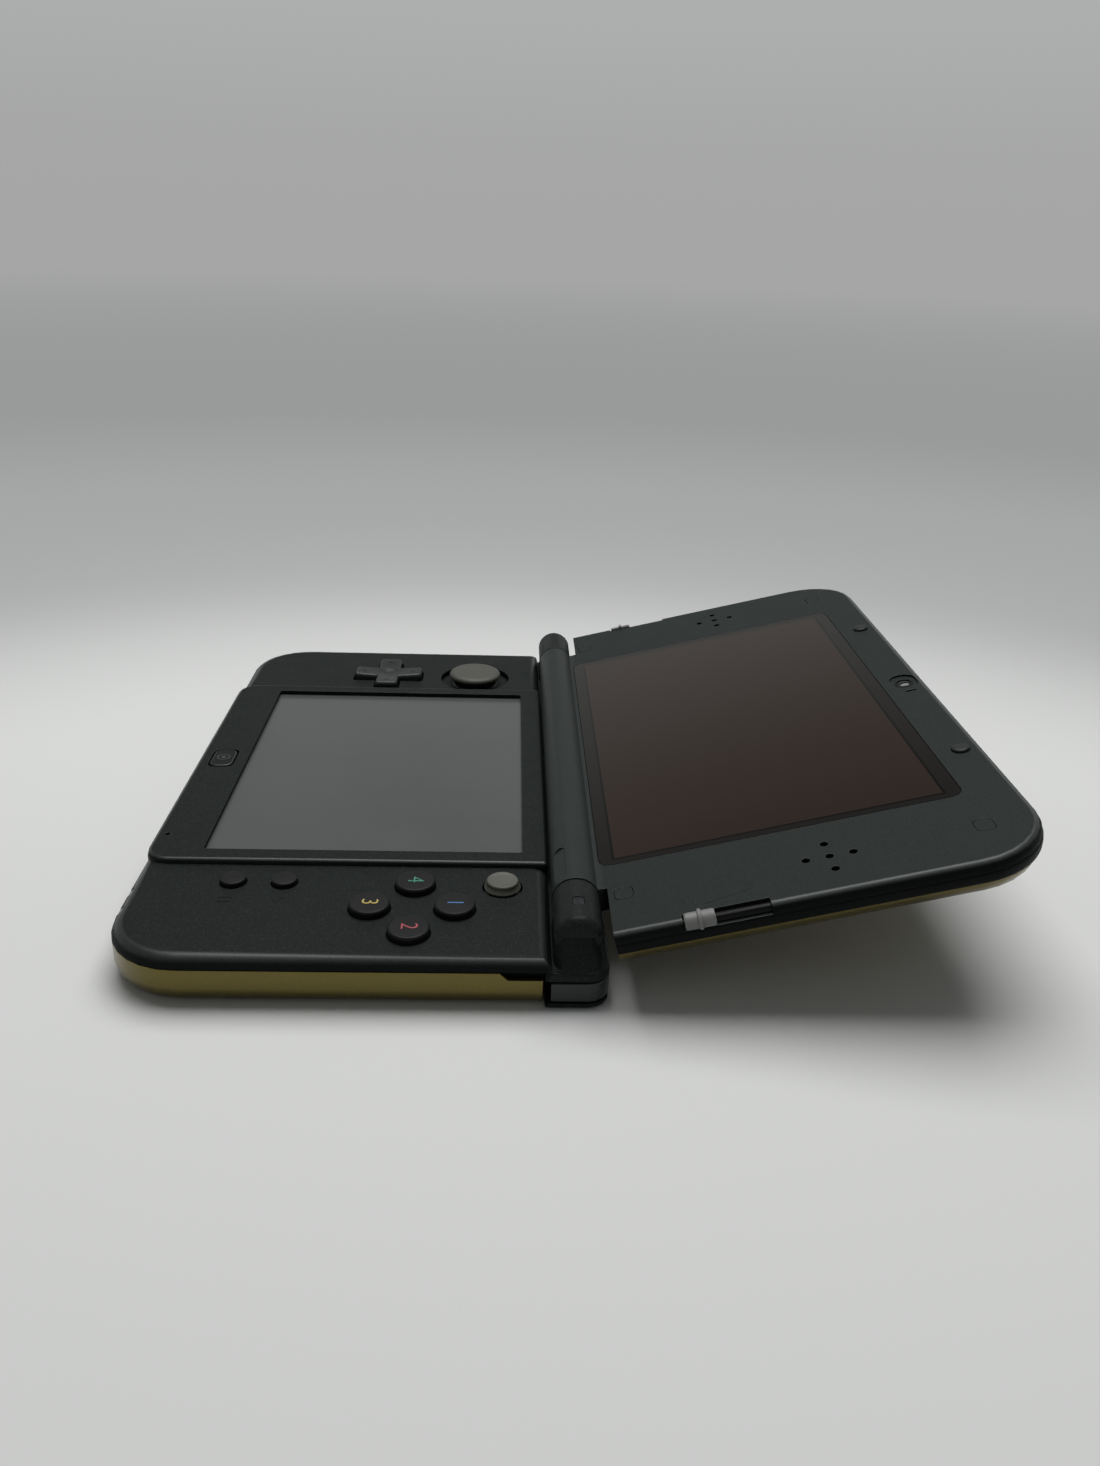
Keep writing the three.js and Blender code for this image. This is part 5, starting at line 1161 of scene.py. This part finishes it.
# %% Ring and dot
warm_ink = ink("warm_grey_ink", "#3A3734")
ring_z = home_top + np.array([-0.05, 0.03, 0.03, -0.05])
dot_z = home_top + np.array([-0.05, 0.02, 0.05, 0.05])
ring_piece(
    "home_ring",
    turned_rings([1.5, 1.5, 1.25, 1.25], ring_z, home_middle),
    warm_ink,
    "home_button",
    hoop=True,
)
ring_piece(
    "home_dot",
    turned_rings([0.5, 0.5, 0.4, EYE], dot_z, home_middle),
    warm_ink,
    "home_button",
)
print("ring and dot 2")


# %% Raised marks on the base
def mark_rings(corners, level, rise, radius=0.12):
    """Rings of a low plate on a face at height level, over an outline given by its corners."""
    return pad_rings(
        rounded_outline(corners, radius, 5),
        cut_levels(rise / 2),
        level_at(level + rise),
        level - SUNK,
        4,
    )


# The base's face, how high a mark stands on it, and how far a mark reaches into the shell, in mm
FACE, MARK_RISE, SUNK = 10.5, 0.1, 0.1
base_marks = {
    "mark_triangle": np.array([(59.1, -18.4), (61.6, -17.1), (59.1, -15.8)]),
    "mark_bar_near": rectangle_corners((59.5, -27.0), 0.7, 2.6),
    "mark_bar_far": rectangle_corners((60.9, -27.0), 0.7, 2.6),
}
for name, corners in base_marks.items():
    rings = mark_rings(corners, FACE, MARK_RISE)
    ring_piece(name, rings, base_charcoal, "base")
print("marks on the base", len(base_marks))

# %% [markdown]
# ## Pieces on the lid
# A drawing of the lid has its own frame: x runs along the hinge, s from the hinge axis up the lid,
# and w square out of its face. One function turns that frame into the world's. The rubber stops,
# the camera and the printed scale are then written down in the numbers of such a drawing.
#
# The lid's charcoal runs a little way round the side of its gold cover, so that the gold shows as
# a narrow line. That band is one profile, carried along three sides of the lid and round the two
# corners between them.

# %% The lid's own frame
LID_FACE = 0.9


def on_lid(points):
    """World points of (x, s, w): y = Y + s cos t - w sin t and z = Z + s sin t + w cos t."""
    x, s, w = np.moveaxis(np.asarray(points, float), -1, 0)
    c, n = math.cos(LID_TILT), math.sin(LID_TILT)
    return np.stack([x, HINGE_Y + s * c - w * n, HINGE_Z + s * n + w * c], axis=-1)


print("lid's free edge at", np.round(on_lid([0, 87.5, LID_FACE]), 1))

# %% Band round the lid's side
def carried(path, profile):
    """Rings of a profile (outwards, w) carried along a path: point + outwards * its normal."""
    points, normals = path
    out, w = np.array(profile).T
    flat = points[:, None] + normals[:, None] * out[:, None]
    return np.concatenate([flat, np.broadcast_to(w[:, None], flat.shape[:2] + (1,))], axis=-1)


LID_HALF, LID_FROM, LID_TO, LID_CORNER = 80, 6.35, 87.5, 15
lid_corners = [
    (LID_HALF, LID_FROM), (LID_HALF, LID_TO), (-LID_HALF, LID_TO), (-LID_HALF, LID_FROM),
]
# The path leaves out the side along the hinge: it starts at the last point of the first corner
# and ends at the first point of the last one
STEPS = 24
points, normals = rounded_outline(lid_corners, [0.01, LID_CORNER, LID_CORNER, 0.01], STEPS)
sides = slice(STEPS - 1, 3 * STEPS + 1)
band_profile = [
    (-0.35, -1.56), (0.05, -1.56), (0.07, -1.62), (0.07, -2.0), (0.03, -2.5), (-0.055, -3.0),
    (-0.13, -3.3), (-0.2, -3.45), (-0.6, -3.5),
]
ring_piece(
    "lid_edge_band",
    on_lid(carried((points[sides], normals[sides]), band_profile)),
    lid_charcoal,
    "lid",
)
print("band profile points", len(band_profile))

# %% Rubber stops
STOP_X, STOP_S = 38.0, 83.0
edge_r, edge_w = quarter(1.3, 1.0, 0.5, 0.5, 0, 90, 8)
stop_r = [1.6, 1.8, *edge_r, 0.7, EYE]
stop_w = [0.42, 0.5, *edge_w, 1.51, 1.52]
for side, x in {"left": -STOP_X, "right": STOP_X}.items():
    bumper = ring_piece(
        f"bumper_{side}",
        on_lid(turned_rings(stop_r, stop_w, (x, STOP_S))),
        stop_rubber,
        "lid",
    )
    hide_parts(f"lid_bumper_{side}")
print("rubber stops 2")

# %% Inner camera
CAMERA = (0.0, 82.84)
DOME_TOP, DOME_CURVE = 0.75, 0.16
dome_r = np.linspace(1.6, EYE, 10)
dome_w = DOME_TOP - DOME_CURVE * dome_r**2
lens = ring_piece(
    "inner_lens",
    on_lid(turned_rings([1.4, 1.6, *dome_r], [-0.2, -0.1, *dome_w], CAMERA)),
    lens_acrylic,
    "lid",
)
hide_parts("inner_camera_lens")
lens_ring_r = [2.1, 2.1, 1.95, 1.75, 1.65, 1.65]
lens_ring_w = [0.3, 0.5, 0.58, 0.58, 0.5, 0.3]
ring_piece(
    "inner_lens_ring",
    on_lid(turned_rings(lens_ring_r, lens_ring_w, CAMERA)),
    gloss_abs,
    "lid",
    hoop=True,
)
print("lens at", CAMERA)

# %% Outer cameras
OUTER_X, OUTER_S = 17.5, 78.6
outer_r = [2.75, 2.75, 2.6, 2.1, 2.0, 2.0]
outer_w = [-7.3, -7.6, -7.7, -7.7, -7.6, -7.3]
for side, x in {"left": -OUTER_X, "right": OUTER_X}.items():
    # This ring faces down, so its points run the other way round to keep its skin outwards
    rings = on_lid(turned_rings(outer_r, outer_w, (x, OUTER_S))[:, ::-1])
    ring_piece(f"outer_lens_ring_{side}", rings, gloss_abs, "lid", hoop=True)
print("outer lens rings 2")

# %% [markdown]
# ## The sliders' slots and scale
# Each side edge of the lid has a slot for a slider. The knob slides on a glossy black track that
# bends round the edge with it. The track is one outline, carried along s. The scale beside the
# right slot is a thin wedge that grows towards the far end, with a plain number at each end.

# %% Slider tracks
track_corners = np.array([
    (77.65, 0.2), (79.3, 0.2), (79.3, -1.12), (79.0, -1.12), (79.0, -0.1), (77.65, -0.1),
])
TRACK_LENGTH = 15.9
track_outline, _ = rounded_outline(track_corners, [0.05, 0.9, 0.05, 0.05, 0.3, 0.05], 8)
for side, (sign, start) in {"left": (-1, 17.85), "right": (1, 18.95)}.items():
    outline = track_outline[::sign] * [sign, 1]
    rings = [np.insert(outline, 1, s, axis=1) for s in (start, start + TRACK_LENGTH)]
    ring_piece(f"slider_track_{side}", on_lid(rings), gloss_abs, "lid")
print("slider tracks 2")


# %% Slider knobs
END_ROUND, END_SHRINK = 0.4, 0.14


def knob(name, corners, radii, sign, middle, half, node):
    """An outline carried along s. Near both ends it shrinks towards its middle in a quarter
    round: scale = 1 - 0.14 (1 - sin a), at 0.4 sqrt(half) (1 - cos a) mm from the end."""
    outline = rounded_outline(np.array(corners), radii, 10)[0][::sign] * [sign, 1]
    angle = np.linspace(0, math.pi / 2, 6)
    rise = END_ROUND * half**0.5 * (1 - np.cos(angle))
    scale = 1 - END_SHRINK * (1 - np.sin(angle))
    along = np.concatenate([middle - half + rise, middle + half - rise[::-1]])
    scale = np.concatenate([scale, scale[::-1]])[:, None, None]
    core = outline.mean(axis=0)
    flat = core + (outline - core) * scale
    s = np.broadcast_to(along[:, None], flat.shape[:2])
    rings = np.stack([flat[..., 0], s, flat[..., 1]], axis=-1)
    piece = ring_piece(name, on_lid(rings), slider_abs, node)
    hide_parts(node)


body_corners = [
    (77.85, 1.35), (80.5, 1.35), (80.5, -0.93), (79.45, -0.93), (79.45, 0.35), (77.85, 0.35),
]
body_radii = [0.25, 2.1, 0.4, 0.05, 0.8, 0.05]
rib_corners = [
    (77.75, 1.75), (80.9, 1.75), (80.9, -1.05), (79.5, -1.05), (79.5, 0.4), (77.75, 0.4),
]
rib_radii = [0.3, 2.4, 0.4, 0.05, 0.8, 0.05]
BODY_HALF, RIB_HALF = 2.8, 0.38
for node, sign, middle in [("depth_slider", 1, 22.0), ("volume_slider", -1, 20.9)]:
    knob(f"{node}_knob", body_corners, body_radii, sign, middle, BODY_HALF, node)
    knob(f"{node}_rib", rib_corners, rib_radii, sign, middle, RIB_HALF, node)
print("slider knobs 2")


# %% Scale beside the right slider
def stroke_corners(start, end, width):
    """Corners of a straight stroke: both of its ends, moved square to it by half its width."""
    start, end = np.array(start, float), np.array(end, float)
    along = (end - start) / np.linalg.norm(end - start)
    square = np.array([-along[1], along[0]]) * width / 2
    return np.array([start - square, end - square, end + square, start + square])


STROKE, SCALE_RISE, SCALE_NUMERAL, SCALE_LIFT = 0.2, 0.05, 2.0, 0.02
lid_marks = {
    "scale_slope": stroke_corners((75.4, 23.6), (73.5, 32.45), STROKE),
    "scale_end": stroke_corners((73.5, 32.4), (75.6, 32.5), STROKE),
    "scale_arrow": np.array([(74.7, 21.4), (75.6, 21.9), (74.7, 22.4)]),
}
for name, corners in lid_marks.items():
    rings = on_lid(mark_rings(corners, LID_FACE, SCALE_RISE, 0.05))
    ring_piece(name, rings, black_abs, "lid")
lid_place = Matrix.Translation(HINGE) @ Matrix.Rotation(LID_TILT, 4, "X")
for name, text, x, s in [("scale_low", "0", 73.7, 19.4), ("scale_high", "9", 71.6, 32.0)]:
    spot = lid_place @ Matrix.Translation(Vector((x, s, LID_FACE + SCALE_LIFT)) * MM)
    numeral(name, text, SCALE_NUMERAL, spot, black_abs, "lid")
print("scale marks", len(lid_marks) + 2)

# %% [markdown]
# ## Rings of the hinge and screws of the cover
# The barrel ends in a thin ring beside each knuckle, which stands a little proud and catches the
# light as a fine line. Two screws hold the gold cover from below. Their heads are flat discs with
# a cross-shaped hole, and the head's height is one function of x and y.

# %% Barrel rings
ring_r = [4.3, 4.56, 4.6, 4.6, 4.56, 4.3]
ring_x = np.array([0.0, 0.05, 0.15, 0.35, 0.45, 0.5])
for side, start in {"left": -64.0, "right": 63.5}.items():
    rings = turned_rings(ring_r, start + ring_x, (HINGE_Y, HINGE_Z))
    rings = np.roll(rings, 1, axis=-1)
    ring_piece(f"barrel_ring_{side}", rings, lid_charcoal, "lid", hoop=True)
print("barrel rings 2")


# %% Cover screws
HEAD, HEAD_THICK, SHANK = 3.9, 0.6, 0.9
HOLE_HALF_WIDTH, HOLE_HALF_LENGTH, HOLE_DEPTH, WALL_BLUR = 0.28, 1.1, 0.45, 0.04


def soft_step(size, half):
    """1 within half of zero and 0 beyond: 1 / (1 + exp((|size| - half) / blur))."""
    return 1 / (1 + np.exp((np.abs(size) - half) / WALL_BLUR))


def cross_hole(x, y):
    """Height of a screw head: 0.45 mm lower in two crossed bars."""
    one = soft_step(x, HOLE_HALF_WIDTH) * soft_step(y, HOLE_HALF_LENGTH)
    other = soft_step(y, HOLE_HALF_WIDTH) * soft_step(x, HOLE_HALF_LENGTH)
    return -HOLE_DEPTH * np.maximum(one, other)


for side in ("left", "right"):
    node = f"cover_screw_{side}"
    centre, screw_low, screw_high = middle_mm(node)
    rings = pad_rings(
        rounded_outline(rectangle_corners((0, 0), HEAD, HEAD), HEAD / 2 - 0.01, 24),
        [(0.0, 0.0)] + round_levels(0.12, 4),
        cross_hole,
        -HEAD_THICK,
        28,
    )
    # Turned over: the head looks down, and y changes sign with z to keep the skin outwards
    rings = rings * [1, -1, -1] + [*centre, screw_low]
    shank_z = [screw_low + HEAD_THICK - 0.05, screw_high]
    shank = turned_rings([SHANK, SHANK], shank_z, centre)
    head_piece = ring_piece(f"screw_head_{side}", rings, steel, "base")
    shank_piece = ring_piece(f"screw_shank_{side}", shank, steel, "base")
    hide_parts(node)
    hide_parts(node)
print("cover screws 2")
